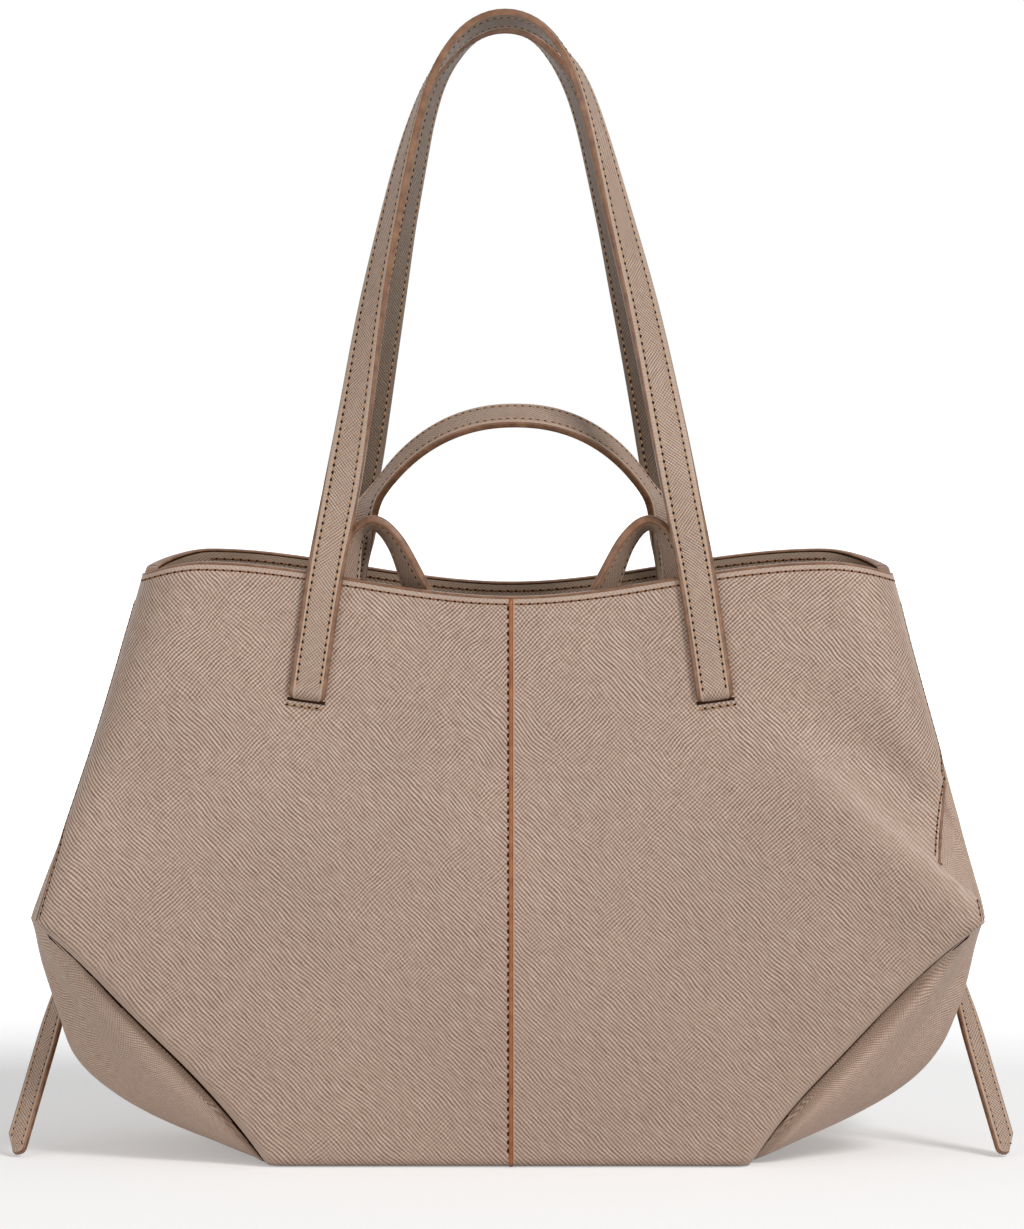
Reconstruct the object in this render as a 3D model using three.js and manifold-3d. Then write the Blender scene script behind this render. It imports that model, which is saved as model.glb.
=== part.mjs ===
// A soft leather shopper bag with two long straps, two short handles and two side tabs.
// Lengths are in millimetres and angles in degrees. X runs across, Y from front to back, Z up.
import * as THREE from 'three';
import { mergeVertices } from 'three/addons/utils/BufferGeometryUtils.js';
import Module from 'manifold-3d';

const wasm = await Module();
wasm.setup();

// Outer shape of the body
const baseHalfWidth = 113;
const baseHalfDepth = 75;
const wingHalfWidth = 225; // half width at the widest point of the sides
const wingHeight = 118; // height of that widest point
const rimHalfWidth = 181;
const rimHalfDepth = 56;
const rimHeight = 273; // at the middle of the front and the back
const rimRise = 14; // the rim is this much higher beside the straps
const rimCornerDrop = 7;
const rimSideDrop = 10;
const rimCornerRadius = 28;
const creaseRadius = 7; // roll of the lower diagonal edges of the front and the back
const creaseBow = 9; // how far those edges bow in
const baseRoll = 5; // roll of the panels under the base
const lobeBulge = 57; // how far a gusset swells out past the creases
const lobeSkew = 0.8; // below 1 puts the fullest part of the lobe lower
const sideFoldDepth = 22; // depth of the fold down the middle of a gusset
const rimFoldDepth = 10;

// Layers, from the outside in
const leather = 2;
const seamGap = 0.4; // between panels that meet edge to edge
const layerGap = 0.3; // between layers that lie on each other
const stayThickness = 1.4;
const facingThickness = 1.2;
const facingWidth = 45;
const liningThickness = 0.8;
const liningStart = 9; // the wall linings start this high
const boardThickness = 2;
const boardMargin = 1; // the base board stays this far inside the base panel
const stayWidth = 12;
const stayTopGap = 1;
const tapeWidth = 20;
const tapeMargin = 12; // the seam tape stops this far from the base and from the rim stay

// Long straps
const strapWidth = 18;
const strapLayer = 1.65; // each strap is two layers
const strapSpread = 98.5; // half the distance between the ends of the front strap
const backStrapSpread = 90; // the back strap is sewn on a little narrower
const slitDrop = 51; // the slits lie this far under the middle of the rim
const strapCrownHeight = 552;
const strapMeetGap = 1.3; // between the two straps where their crowns meet
const strapFullness = 0.92; // below 1 makes the arch fuller
const strapTwist = 98; // turn of the strap from its ends to its crown
const strapTwistEase = 1.2;
const strapFlatLength = 72; // stretch at each end that lies flat
const strapSquareLength = 20; // its last stretch, squared to the slit
const slitClearance = 0.5;
const slitReach = 2; // the cut for a slit reaches this far past both faces of the panel
const tailDrop = 2.2; // the sewn tail starts this far under the swing axis
const tailReach = 0.8; // and stands out of the slit this far
const tailLength = 26;

// Short handles
const handleWidth = 18;
const handleThickness = 4;
const handleSpread = 81;
const backHandleAxisDrop = 5; // swing axis of the back handle under the middle of the rim
const backHandleHeight = 104;
const backHandleLeanAngle = 24;
const backHandleFullness = 0.92;
const backHandleRise = 1.12; // above 1 slopes the shoulders of its arch
const handleTailLength = 32;
const handleTailDrop = 2.5;
const handleFlatLength = 20; // flat stretch of the back handle above its axis
const handleTurnLength = 48; // stretch in which it turns to its edge
const loopHeight = 38; // the buckled front handle rises this far over the rim
const loopReach = 14; // and turns over this far inside its legs
const armSpread = 42; // half the distance between its arms at the rim
const crownDrop = 27; // its middle hangs this far under the rim
const legDepth = 50; // its sewn legs reach this far down
const crownInset = 26; // its middle hangs this far inside the front panel
const loopTurn = 85;
const armTurn = 50;
const crownTurn = 58;
const shoulderRise = 0.75; // share of a rise or a drop where the handle starts to turn over
const legLeanShare = 0.35; // share of its turn-over that the legs make by then
const armFlare = 0.55; // share of the way from arm to loop that the arms spread by then
const crownFlare = 0.6; // share of the arms' spread that the crown has by then
const legFlatShare = 0.12; // share of its half length that lies flat on the facing
const loopShare = 0.47; // share of its half length where the legs end
const armShare = 0.72;
const armEnd = 0.455; // share of its whole length where the crown starts

// Side tabs
const tabWidth = 12;
const tabThickness = 3;
const tabLength = 131;
const tabReach = 36; // the free end hangs this far to the front
const tabHeight = 130; // of the swing axis
const tabTilt = 16;
const tabClearance = 0.8; // between a tab and the gusset at the swing axis
const tabTurn = 52; // turn of the face to the front
const tabTurnStart = 0.12; // shares of its length between which the face turns
const tabTurnEnd = 0.6;
const anchorLength = 16;
const anchorWidth = 9;
const anchorThickness = 2;

// Fineness of the meshes
const flatColumns = 6;
const cornerColumns = 4;
const gussetColumns = 14;
const lowerRows = 7;
const upperRows = 5;
const facingRows = 2;
const strapSteps = 48;
const handleSteps = 30;
const limbSteps = 15; // of each leg and arm of the front handle, and of each tab
const crownSteps = 6;
const rollRow = 0.3; // share of the base roll where its middle row lies
const flatShare = 0.8; // share of a panel's columns that lie before its rounded edge
const lobeShare = 0.45; // share of a half gusset where the lobe is fullest
const slopeStep = 0.001; // the slope of a surface is taken over this step each way

const { lerp, smoothstep, degToRad, clamp } = THREE.MathUtils;
const upAxis = new THREE.Vector3(0, 0, 1);
const depthAxis = new THREE.Vector3(0, 1, 0);
const noShift = new THREE.Vector3();
const slitHeight = rimHeight - slitDrop;
const strapThickness = 2 * strapLayer + layerGap;
const strapOffset = layerGap + strapThickness / 2;
const facingOffset = leather + stayThickness + 2 * layerGap;
const handleOffset = facingOffset + facingThickness + layerGap + handleThickness / 2;

// The front and the back lean in so that the crowns of the two straps just meet.
const crownHalfDepth = (strapWidth + strapMeetGap) / 2;
const leanSlope = (rimHalfDepth + strapOffset - crownHalfDepth) / (strapCrownHeight - rimHeight);
const leanAngle = Math.atan(leanSlope);
const wingHalfDepth = rimHalfDepth + leanSlope * (rimHeight - wingHeight);

const bag = new THREE.Group();

function leatherFinish(color, roughness = 0.55) {
  return new THREE.MeshStandardMaterial({ color, roughness, metalness: 0 });
}
const grainLeather = leatherFinish(0xa8937f);
const backingLeather = leatherFinish(0x9c8671);
const suedeLining = leatherFinish(0x8d7a68, 0.9);
const fibreBoard = leatherFinish(0x6f6252, 0.85);
const cottonTape = leatherFinish(0xb9ab98, 0.9);

function addPiece(parent, name, geometry, material) {
  const mesh = new THREE.Mesh(geometry, material);
  mesh.name = name;
  parent.add(mesh);
  return mesh;
}

// Half width of the front panel: the crease below the wings, the side seam above them.
function edgeX(z) {
  const low = z / wingHeight;
  if (low < 1) {
    return lerp(baseHalfWidth, wingHalfWidth, low) - creaseBow * 4 * low * (1 - low);
  }
  return lerp(wingHalfWidth, rimHalfWidth, (z - wingHeight) / (rimHeight - wingHeight));
}

function halfDepth(z) {
  if (z >= wingHeight) {
    return rimHalfDepth + leanSlope * (rimHeight - z);
  }
  const under = clamp((baseRoll - z) / baseRoll, 0, 1);
  return lerp(baseHalfDepth, wingHalfDepth, z / wingHeight) - baseRoll * (1 - Math.sqrt(1 - under * under));
}

function cornerRadius(z) {
  const high = clamp((z - wingHeight) / (rimHeight - wingHeight), 0, 1);
  return lerp(creaseRadius, rimCornerRadius, high);
}

function lobeAt(z) {
  const low = clamp(z / wingHeight, 0, 1);
  return lobeBulge * Math.sin(Math.PI * Math.pow(low, lobeSkew));
}

function foldAt(z) {
  if (z < wingHeight) {
    return sideFoldDepth * Math.sin((Math.PI / 2) * (z / wingHeight));
  }
  return lerp(sideFoldDepth, rimFoldDepth, (z - wingHeight) / (rimHeight - wingHeight));
}

// Rim height along a panel, from its middle at 0 to its side seam at 1
function panelRim(across) {
  const rise = rimRise * smoothstep(across, 0, flatShare);
  return rimHeight + rise - rimCornerDrop * smoothstep(across, flatShare, 1);
}

// A level counts 0 to 1 from the base to the wings and 1 to 2 from the wings to the rim.
const rimLevel = 2;
function levelHeight(level, rim) {
  return level <= 1 ? level * wingHeight : lerp(wingHeight, rim, level - 1);
}

function panelPoint(across, level) {
  const share = Math.abs(across);
  const z = levelHeight(level, panelRim(share));
  const radius = cornerRadius(z);
  const flat = edgeX(z) - radius;
  const turn = (Math.max(share - flatShare, 0) / (1 - flatShare)) * (Math.PI / 2);
  const x = share < flatShare ? (flat * share) / flatShare : flat + radius * Math.sin(turn);
  const y = radius * (1 - Math.cos(turn)) - halfDepth(z);
  return new THREE.Vector3(Math.sign(across) * x, y, z);
}

// A gusset runs from its front seam at -1 over its fold at 0 to its back seam at 1.
function gussetPoint(along, level) {
  const inward = 1 - Math.abs(along);
  const z = levelHeight(level, panelRim(1) - rimSideDrop * smoothstep(inward, 0, 1));
  const swell = Math.sin((Math.PI / 2) * Math.min(inward / lobeShare, 1));
  const x = edgeX(z) + lobeAt(z) * swell - foldAt(z) * smoothstep(inward, lobeShare, 1);
  const seam = halfDepth(z) - cornerRadius(z) - seamGap;
  return new THREE.Vector3(x, along * seam, z);
}

function outwardNormal(point, across, level) {
  const along = point(across + slopeStep, level).sub(point(across - slopeStep, level));
  const above = point(across, Math.min(level + slopeStep, rimLevel));
  const up = above.sub(point(across, Math.max(level - slopeStep, 0)));
  return along.cross(up).normalize();
}

function evenSteps(from, to, count) {
  return Array.from({ length: count + 1 }, (unused, i) => lerp(from, to, i / count));
}

// A box cut into a grid, with the same diagonals on its inner and outer face, so that layers nest
function gridBox(columns, rows) {
  const geometry = new THREE.BoxGeometry(1, 1, 1, columns, rows, 1);
  const { index, groups } = geometry;
  const inner = groups[groups.length - 1];
  for (let i = inner.start; i < inner.start + inner.count; i += 6) {
    const first = index.getX(i);
    const third = index.getX(i + 4);
    index.setX(i + 2, third);
    index.setX(i + 3, first);
  }
  return geometry;
}

// A sheet that follows a surface, between two depths under its outer face
function sheet(point, columns, levels, outerDepth, innerDepth) {
  const geometry = gridBox(columns.length - 1, levels.length - 1);
  const place = geometry.attributes.position;
  for (let i = 0; i < place.count; i++) {
    const across = columns[Math.round((place.getX(i) + 0.5) * (columns.length - 1))];
    const level = levels[Math.round((place.getY(i) + 0.5) * (levels.length - 1))];
    const depth = place.getZ(i) > 0 ? outerDepth : innerDepth;
    const spot = point(across, level).addScaledVector(outwardNormal(point, across, level), -depth);
    place.setXYZ(i, spot.x, spot.y, spot.z);
  }
  return geometry;
}

// A band along a curve: frameAt gives the direction across its width and the one out of its face.
function band(curve, steps, width, inner, outer, frameAt, from = 0, to = 1) {
  const geometry = gridBox(steps, 1);
  const place = geometry.attributes.position;
  for (let i = 0; i < place.count; i++) {
    const share = lerp(from, to, place.getX(i) + 0.5);
    const spot = curve.getPointAt(share);
    const frame = frameAt(share, curve.getTangentAt(share));
    spot.addScaledVector(frame.across, place.getY(i) * width);
    spot.addScaledVector(frame.face, place.getZ(i) > 0 ? outer : inner);
    spot.add(frame.shift ?? noShift);
    place.setXYZ(i, spot.x, spot.y, spot.z);
  }
  return geometry;
}

// Directions across a band and out of its face after a turn about the band's own length
function turnedFrame(tangent, turn) {
  const outward = tangent.clone().cross(depthAxis).normalize();
  const inward = outward.clone().cross(tangent).normalize();
  const across = outward.clone().multiplyScalar(Math.cos(turn)).addScaledVector(inward, Math.sin(turn));
  const face = outward.multiplyScalar(Math.sin(turn)).addScaledVector(inward, -Math.cos(turn));
  return { across, face };
}

// An arch in the XZ plane, from its left foot over its crown to its right foot
class ArchCurve extends THREE.Curve {
  constructor(halfSpread, height, rise, fullness, offset = 0) {
    super();
    Object.assign(this, { halfSpread, height, rise, fullness, offset });
  }

  getPoint(share) {
    const side = Math.cos(Math.PI * share);
    const x = -this.halfSpread * Math.sign(side) * Math.pow(Math.abs(side), this.fullness);
    const z = this.height * Math.pow(Math.sin(Math.PI * clamp(share, 0, 1)), this.rise);
    return new THREE.Vector3(x, this.offset, z);
  }
}

function toSolid(geometry) {
  const bare = geometry.clone();
  bare.deleteAttribute('normal');
  bare.deleteAttribute('uv');
  const merged = mergeVertices(bare);
  const vertProperties = new Float32Array(merged.attributes.position.array);
  const triVerts = new Uint32Array(merged.index.array);
  return new wasm.Manifold(new wasm.Mesh({ numProp: 3, vertProperties, triVerts }));
}

function cutFrom(geometry, tool) {
  const mesh = toSolid(geometry).subtract(toSolid(tool)).getMesh();
  const cut = new THREE.BufferGeometry();
  cut.setAttribute('position', new THREE.BufferAttribute(mesh.vertProperties, 3));
  cut.setIndex(new THREE.BufferAttribute(mesh.triVerts, 1));
  cut.computeVertexNormals();
  return cut;
}

// Rows of levels: the roll under the base, the wall up to the wings, and the wall up to the rim
const rollLevel = baseRoll / wingHeight;
const wallRows = [
  0,
  rollLevel * rollRow,
  ...evenSteps(rollLevel, 1, lowerRows),
  ...evenSteps(1, rimLevel, upperRows).slice(1),
];
const facingLevel = rimLevel - facingWidth / (rimHeight - wingHeight);
const levelGap = seamGap / (rimHeight - wingHeight);
const liningRows = [
  ...evenSteps(liningStart / wingHeight, 1, lowerRows),
  ...evenSteps(1, facingLevel - levelGap, upperRows - 2).slice(1),
];
const facingLevels = evenSteps(facingLevel, rimLevel, facingRows);
const rightColumns = [
  ...evenSteps(0, flatShare, flatColumns),
  ...evenSteps(flatShare, 1, cornerColumns).slice(1),
];
const leftColumns = rightColumns.map((across) => -across).reverse();
const wholeColumns = [...leftColumns, ...rightColumns.slice(1)];
const foldColumns = evenSteps(-1, 1, gussetColumns);
const seamShare = (seamGap / 2 / baseHalfWidth) * flatShare;

// Places where a strap goes through a panel: a frame on the panel's face, at the swing axis of the strap
function slitFrame() {
  const frame = new THREE.Group();
  frame.position.set(0, -halfDepth(slitHeight), slitHeight);
  frame.rotation.x = -leanAngle;
  frame.updateMatrix();
  return frame;
}

function slitCutter(side, spread) {
  const slot = new THREE.BoxGeometry(
    strapWidth + 2 * slitClearance,
    leather + 2 * slitReach,
    strapThickness + 2 * slitClearance,
  );
  slot.translate(side * spread, leather / 2, -tailDrop - strapThickness / 2);
  return slot.applyMatrix4(slitFrame().matrix);
}

function panelHalf(side, spread) {
  const columns = side > 0 ? [...rightColumns] : [...leftColumns];
  columns[side > 0 ? 0 : columns.length - 1] = side * seamShare;
  return cutFrom(sheet(panelPoint, columns, wallRows, 0, leather), slitCutter(side, spread));
}

// The tail of a strap: through the slit, then down behind the panel
function strapTail() {
  const inside = leather + layerGap;
  const outline = new THREE.Shape();
  outline.moveTo(-tailReach, -tailDrop);
  outline.lineTo(inside + stayThickness, -tailDrop);
  outline.lineTo(inside + stayThickness, -tailDrop - tailLength);
  outline.lineTo(inside, -tailDrop - tailLength);
  outline.lineTo(inside, -tailDrop - strapThickness);
  outline.lineTo(-tailReach, -tailDrop - strapThickness);
  const tail = new THREE.ExtrudeGeometry(outline, { depth: strapWidth, bevelEnabled: false });
  tail.translate(0, 0, -strapWidth / 2);
  const turned = new THREE.Matrix4().makeBasis(depthAxis, upAxis, new THREE.Vector3(1, 0, 0));
  return tail.applyMatrix4(turned);
}

// Turn of a strap along its length: flat on the panel at its ends, on edge at its crown
function strapFrame(length) {
  return (share, tangent) => {
    const fromFoot = length * Math.min(share, 1 - share);
    const fromCrown = clamp((length / 2 - fromFoot) / (length / 2 - strapFlatLength), 0, 1);
    const turn = degToRad(strapTwist) * Math.pow(Math.cos((Math.PI / 2) * fromCrown), strapTwistEase);
    const foot = upAxis.clone().multiplyScalar(Math.sign(0.5 - share));
    const square = 1 - smoothstep(fromFoot, 0, strapSquareLength);
    return turnedFrame(tangent.lerp(foot, square).normalize(), turn);
  };
}

// One long strap and its two tails, on the outside of a panel
function addStrap(side, name, leftName, rightName, spread) {
  const frame = slitFrame();
  const rise = (strapCrownHeight - slitHeight) / Math.cos(leanAngle);
  const arch = new ArchCurve(spread, rise, 2, strapFullness, -strapOffset);
  const frameAt = strapFrame(arch.getLength());
  const upper = band(arch, strapSteps, strapWidth, layerGap / 2, strapThickness / 2, frameAt);
  const lower = band(arch, strapSteps, strapWidth, -strapThickness / 2, -layerGap / 2, frameAt);
  addPiece(frame, `${name}_strap`, upper, grainLeather);
  addPiece(frame, `${name}_strap_backing`, lower, backingLeather);
  const ends = [
    [leftName, -1],
    [rightName, 1],
  ];
  for (const [end, direction] of ends) {
    const tail = addPiece(frame, `${name}_strap_${end}_tail`, strapTail(), grainLeather);
    tail.position.x = direction * spread;
  }
  side.add(frame);
}

// The leather band inside the rim and the lining under it
function addInnerLayers(side, name, point, columns) {
  const facingInner = facingOffset + facingThickness;
  const facing = sheet(point, columns, facingLevels, facingOffset, facingInner);
  addPiece(side, `${name}_facing`, facing, grainLeather);
  const liningInner = facingOffset + liningThickness;
  const lining = sheet(point, columns, liningRows, facingOffset, liningInner);
  addPiece(side, `${name}_lining`, lining, suedeLining);
}

// Front or back: two leather halves, the tape behind their seam, the rim stay, inner layers and strap
function addSide(name, leftName, rightName, spread) {
  const side = new THREE.Group();
  addPiece(side, `${name}_${leftName}_panel`, panelHalf(-1, spread), grainLeather);
  addPiece(side, `${name}_${rightName}_panel`, panelHalf(1, spread), grainLeather);

  const behind = leather + layerGap;
  const tapeShare = (tapeWidth / 2 / edgeX(wingHeight)) * flatShare;
  const stayBottom = rimLevel - (stayWidth + stayTopGap) / (rimHeight - wingHeight);
  const stayTop = rimLevel - stayTopGap / (rimHeight - wingHeight);
  const tapeTop = stayBottom - tapeMargin / (rimHeight - wingHeight);
  const tapeRows = [...evenSteps(tapeMargin / wingHeight, 1, facingRows), tapeTop];
  const tape = sheet(panelPoint, [-tapeShare, tapeShare], tapeRows, behind, behind + stayThickness);
  addPiece(side, `${name}_seam_tape`, tape, cottonTape);

  const stay = sheet(panelPoint, wholeColumns, [stayBottom, stayTop], behind, behind + stayThickness);
  addPiece(side, `${name}_rim_stay`, stay, fibreBoard);

  addInnerLayers(side, name, panelPoint, wholeColumns);
  addStrap(side, name, leftName, rightName, spread);
  bag.add(side);
  return side;
}

// Left or right: the gusset with its lining and facing
function addGusset(name) {
  const side = new THREE.Group();
  addPiece(side, `${name}_gusset`, sheet(gussetPoint, foldColumns, wallRows, 0, leather), grainLeather);
  addInnerLayers(side, name, gussetPoint, foldColumns);
  bag.add(side);
  return side;
}

// A flat layer of the base with rounded corners
function basePlate(inset, thickness) {
  const x = baseHalfWidth - inset;
  const y = halfDepth(0) - inset;
  const r = creaseRadius;
  const outline = new THREE.Shape();
  outline.absarc(x - r, y - r, r, 0, Math.PI / 2);
  outline.absarc(r - x, y - r, r, Math.PI / 2, Math.PI);
  outline.absarc(r - x, r - y, r, Math.PI, 1.5 * Math.PI);
  outline.absarc(x - r, r - y, r, 1.5 * Math.PI, 2 * Math.PI);
  const settings = { depth: thickness, bevelEnabled: false, curveSegments: cornerColumns };
  return new THREE.ExtrudeGeometry(outline, settings);
}

function addBase() {
  addPiece(bag, 'base_panel', basePlate(leather, leather), grainLeather);
  const board = addPiece(bag, 'base_board', basePlate(leather + boardMargin, boardThickness), fibreBoard);
  board.position.z = leather + layerGap;
  const lining = addPiece(bag, 'base_lining', basePlate(leather + boardMargin, liningThickness), suedeLining);
  lining.position.z = board.position.z + boardThickness + layerGap;
}

// A frame on the face of the front, a given way under the middle of the rim
function rimFrame(drop) {
  const frame = new THREE.Group();
  frame.position.set(0, -halfDepth(rimHeight - drop), rimHeight - drop);
  frame.rotation.x = -leanAngle;
  return frame;
}

// The back handle stands on its swing axis inside the back panel, with its sewn tails below.
function addBackHandle(back) {
  const frame = rimFrame(backHandleAxisDrop);
  back.add(frame);
  const ends = [
    ['right', -1],
    ['left', 1],
  ];
  for (const [end, direction] of ends) {
    const box = new THREE.BoxGeometry(handleWidth, handleThickness, handleTailLength);
    const tail = addPiece(frame, `back_handle_${end}_tail`, box, grainLeather);
    tail.position.set(direction * handleSpread, handleOffset, -handleTailDrop - handleTailLength / 2);
  }
  const swing = new THREE.Group();
  swing.position.y = handleOffset;
  swing.rotation.x = leanAngle - degToRad(backHandleLeanAngle);
  frame.add(swing);
  const arch = new ArchCurve(handleSpread, backHandleHeight, backHandleRise, backHandleFullness);
  const length = arch.getLength();
  const turnEnd = handleFlatLength + handleTurnLength;
  const frameAt = (share, tangent) => {
    const fromFoot = length * Math.min(share, 1 - share);
    const turn = -(Math.PI / 2) * smoothstep(fromFoot, handleFlatLength, turnEnd);
    const foot = upAxis.clone().multiplyScalar(Math.sign(0.5 - share));
    const square = 1 - smoothstep(fromFoot, 0, handleFlatLength);
    return turnedFrame(tangent.lerp(foot, square).normalize(), turn);
  };
  const half = handleThickness / 2;
  const trim = layerGap / length;
  const strip = band(arch, handleSteps, handleWidth, -half, half, frameAt, trim, 1 - trim);
  addPiece(swing, 'back_handle', strip, grainLeather);
}

// Turn of the buckled front handle, by share of its half length: flat on the facing, on edge in its
// loops, and tilted along its arms
const buckleTurns = [
  [0, 0],
  [legFlatShare, 0],
  [loopShare, loopTurn],
  [armShare, armTurn],
  [1, crownTurn],
];

// Distance from the panel's face to the middle of a handle that rests against the facing
function seatInset(turn) {
  const reach = (handleWidth * Math.sin(turn) + handleThickness * Math.cos(turn)) / 2;
  return facingOffset + facingThickness + layerGap + reach;
}

function buckleFrame(share, tangent) {
  const half = 1 - Math.abs(2 * share - 1);
  const next = Math.max(buckleTurns.findIndex(([stop]) => stop >= half), 1);
  const [from, fromTurn] = buckleTurns[next - 1];
  const [to, toTurn] = buckleTurns[next];
  const turn = degToRad(lerp(fromTurn, toTurn, (half - from) / (to - from)));
  const away = clamp((half - loopShare) / (1 - loopShare), 0, 1);
  const inset = lerp(seatInset(half < loopShare ? turn : degToRad(loopTurn)), crownInset, away);
  return { ...turnedFrame(tangent, -turn), shift: depthAxis.clone().multiplyScalar(inset) };
}

// The buckled front handle: two legs that stand inside the rim, two arms and the hanging crown
function addFrontHandle(front) {
  const frame = rimFrame(0);
  front.add(frame);
  const loopSpread = handleSpread - loopReach;
  const flank = [
    [handleSpread, -legDepth],
    [handleSpread, -legDepth / 2],
    [handleSpread, 0],
    [handleSpread - legLeanShare * loopReach, shoulderRise * loopHeight],
    [loopSpread, loopHeight],
    [lerp(armSpread, loopSpread, armFlare), shoulderRise * loopHeight],
    [armSpread, 0],
    [crownFlare * armSpread, -shoulderRise * crownDrop],
  ];
  const toPoint = (direction) => ([x, z]) => new THREE.Vector3(direction * x, 0, z);
  const crown = new THREE.Vector3(0, 0, -crownDrop);
  const right = flank.map(toPoint(1)).reverse();
  const curve = new THREE.CatmullRomCurve3([...flank.map(toPoint(-1)), crown, ...right]);
  const cut = layerGap / curve.getLength() / 2;
  const half = handleThickness / 2;
  const legEnd = loopShare / 2;
  const stretches = [
    ['left_leg', limbSteps, 0, legEnd - cut],
    ['left_arm', limbSteps, legEnd + cut, armEnd - cut],
    ['crown', crownSteps, armEnd + cut, 1 - armEnd - cut],
    ['right_arm', limbSteps, 1 - armEnd + cut, 1 - legEnd - cut],
    ['right_leg', limbSteps, 1 - legEnd + cut, 1],
  ];
  for (const [name, steps, from, to] of stretches) {
    const strip = band(curve, steps, handleWidth, -half, half, buckleFrame, from, to);
    addPiece(frame, `front_handle_${name}`, strip, grainLeather);
  }
}

// A side tab hangs from its anchor in the fold of the gusset, and its free end turns and bends to the front.
function addTab(side, name, front) {
  const level = 1 + (tabHeight - wingHeight) / (panelRim(1) - rimSideDrop - wingHeight);
  const seat = gussetPoint(0, level);
  const normal = outwardNormal(gussetPoint, 0, level);
  const edgeShare = tabWidth / 2 / (halfDepth(tabHeight) - cornerRadius(tabHeight) - seamGap);
  const rise = gussetPoint(edgeShare, level).x - seat.x;

  const box = new THREE.BoxGeometry(anchorThickness, anchorWidth, anchorLength);
  const anchor = addPiece(side, `${name}_tab_anchor`, box, grainLeather);
  anchor.quaternion.setFromUnitVectors(new THREE.Vector3(1, 0, 0), normal);
  const above = new THREE.Vector3(0, 0, anchorLength / 2 + tabThickness).applyQuaternion(anchor.quaternion);
  anchor.position.copy(seat).add(above).addScaledVector(normal, rise + layerGap + anchorThickness / 2);

  const swing = new THREE.Group();
  swing.position.copy(seat).addScaledVector(normal, rise + tabClearance + tabThickness / 2);
  swing.rotation.y = -degToRad(tabTilt);
  const top = new THREE.Vector3(0, 0, -layerGap);
  const middle = new THREE.Vector3(0, 0, -tabLength / 2);
  const tip = new THREE.Vector3(0, front * tabReach, -tabLength);
  const line = new THREE.QuadraticBezierCurve3(top, middle, tip);
  const frameAt = (share, tangent) => {
    const turn = front * degToRad(tabTurn) * smoothstep(share, tabTurnStart, tabTurnEnd);
    const level = new THREE.Vector3(-Math.sin(turn), Math.cos(turn), 0);
    const across = level.projectOnPlane(tangent).normalize();
    return { across, face: tangent.clone().cross(across) };
  };
  const half = tabThickness / 2;
  addPiece(swing, `${name}_tab`, band(line, limbSteps, tabWidth, -half, half, frameAt), grainLeather);
  side.add(swing);
}

addBase();
const front = addSide('front', 'left', 'right', strapSpread);
const back = addSide('back', 'right', 'left', backStrapSpread);
back.rotation.z = Math.PI;
addBackHandle(back);
addFrontHandle(front);
const right = addGusset('right');
const left = addGusset('left');
left.rotation.z = Math.PI;
addTab(right, 'right', -1);
addTab(left, 'left', 1);

export default bag;
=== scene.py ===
import bpy
import bmesh
import math
from mathutils import Matrix, Vector, noise
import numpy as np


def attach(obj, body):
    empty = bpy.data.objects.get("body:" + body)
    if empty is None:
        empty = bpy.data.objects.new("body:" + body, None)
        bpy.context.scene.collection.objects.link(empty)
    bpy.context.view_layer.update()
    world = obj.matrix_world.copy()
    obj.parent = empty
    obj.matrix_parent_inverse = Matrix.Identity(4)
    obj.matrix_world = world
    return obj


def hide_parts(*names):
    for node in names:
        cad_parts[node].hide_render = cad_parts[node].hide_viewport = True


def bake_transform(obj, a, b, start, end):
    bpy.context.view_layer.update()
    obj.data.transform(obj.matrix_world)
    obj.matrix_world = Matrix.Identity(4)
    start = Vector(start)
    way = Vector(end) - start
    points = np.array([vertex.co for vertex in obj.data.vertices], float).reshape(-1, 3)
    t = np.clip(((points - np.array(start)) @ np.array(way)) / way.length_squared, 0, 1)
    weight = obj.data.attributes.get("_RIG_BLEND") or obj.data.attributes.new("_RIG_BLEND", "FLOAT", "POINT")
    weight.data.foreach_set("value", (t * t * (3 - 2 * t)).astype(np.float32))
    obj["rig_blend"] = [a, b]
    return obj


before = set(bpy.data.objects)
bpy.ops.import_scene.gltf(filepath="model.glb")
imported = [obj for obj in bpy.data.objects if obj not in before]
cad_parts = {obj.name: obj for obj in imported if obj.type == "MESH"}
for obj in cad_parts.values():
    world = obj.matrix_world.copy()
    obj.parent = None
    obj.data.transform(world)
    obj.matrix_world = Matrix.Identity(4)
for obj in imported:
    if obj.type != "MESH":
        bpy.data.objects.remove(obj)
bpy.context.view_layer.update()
mm = 0.001    # the sizes below are in millimetres, Blender's are in metres
print("frame loaded:", len(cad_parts), "nodes")


def clamp(value, low=0.0, high=1.0):
    return max(low, min(high, value))


def lerp(a, b, share):
    return a + (b - a) * share


def ease(value, low, high):
    share = clamp((value - low) / (high - low))
    return share * share * (3 - 2 * share)


# Value between stops of (place, value), and the same with its corners smoothed
def between(stops, place):
    if place <= stops[0][0]:
        return stops[0][1]
    for (a, fromValue), (b, toValue) in zip(stops, stops[1:]):
        if place <= b:
            return lerp(fromValue, toValue, (place - a) / (b - a))
    return stops[-1][1]


def smoothBetween(stops, place, span):
    return sum(between(stops, place + i * span / 2) for i in range(-2, 3)) / 5


# Materials

def srgb(text):
    parts = [int(text[i:i + 2], 16) / 255 for i in (1, 3, 5)]
    return tuple(c / 12.92 if c <= 0.04045 else ((c + 0.055) / 1.055) ** 2.4 for c in parts) + (1.0,)


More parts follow.
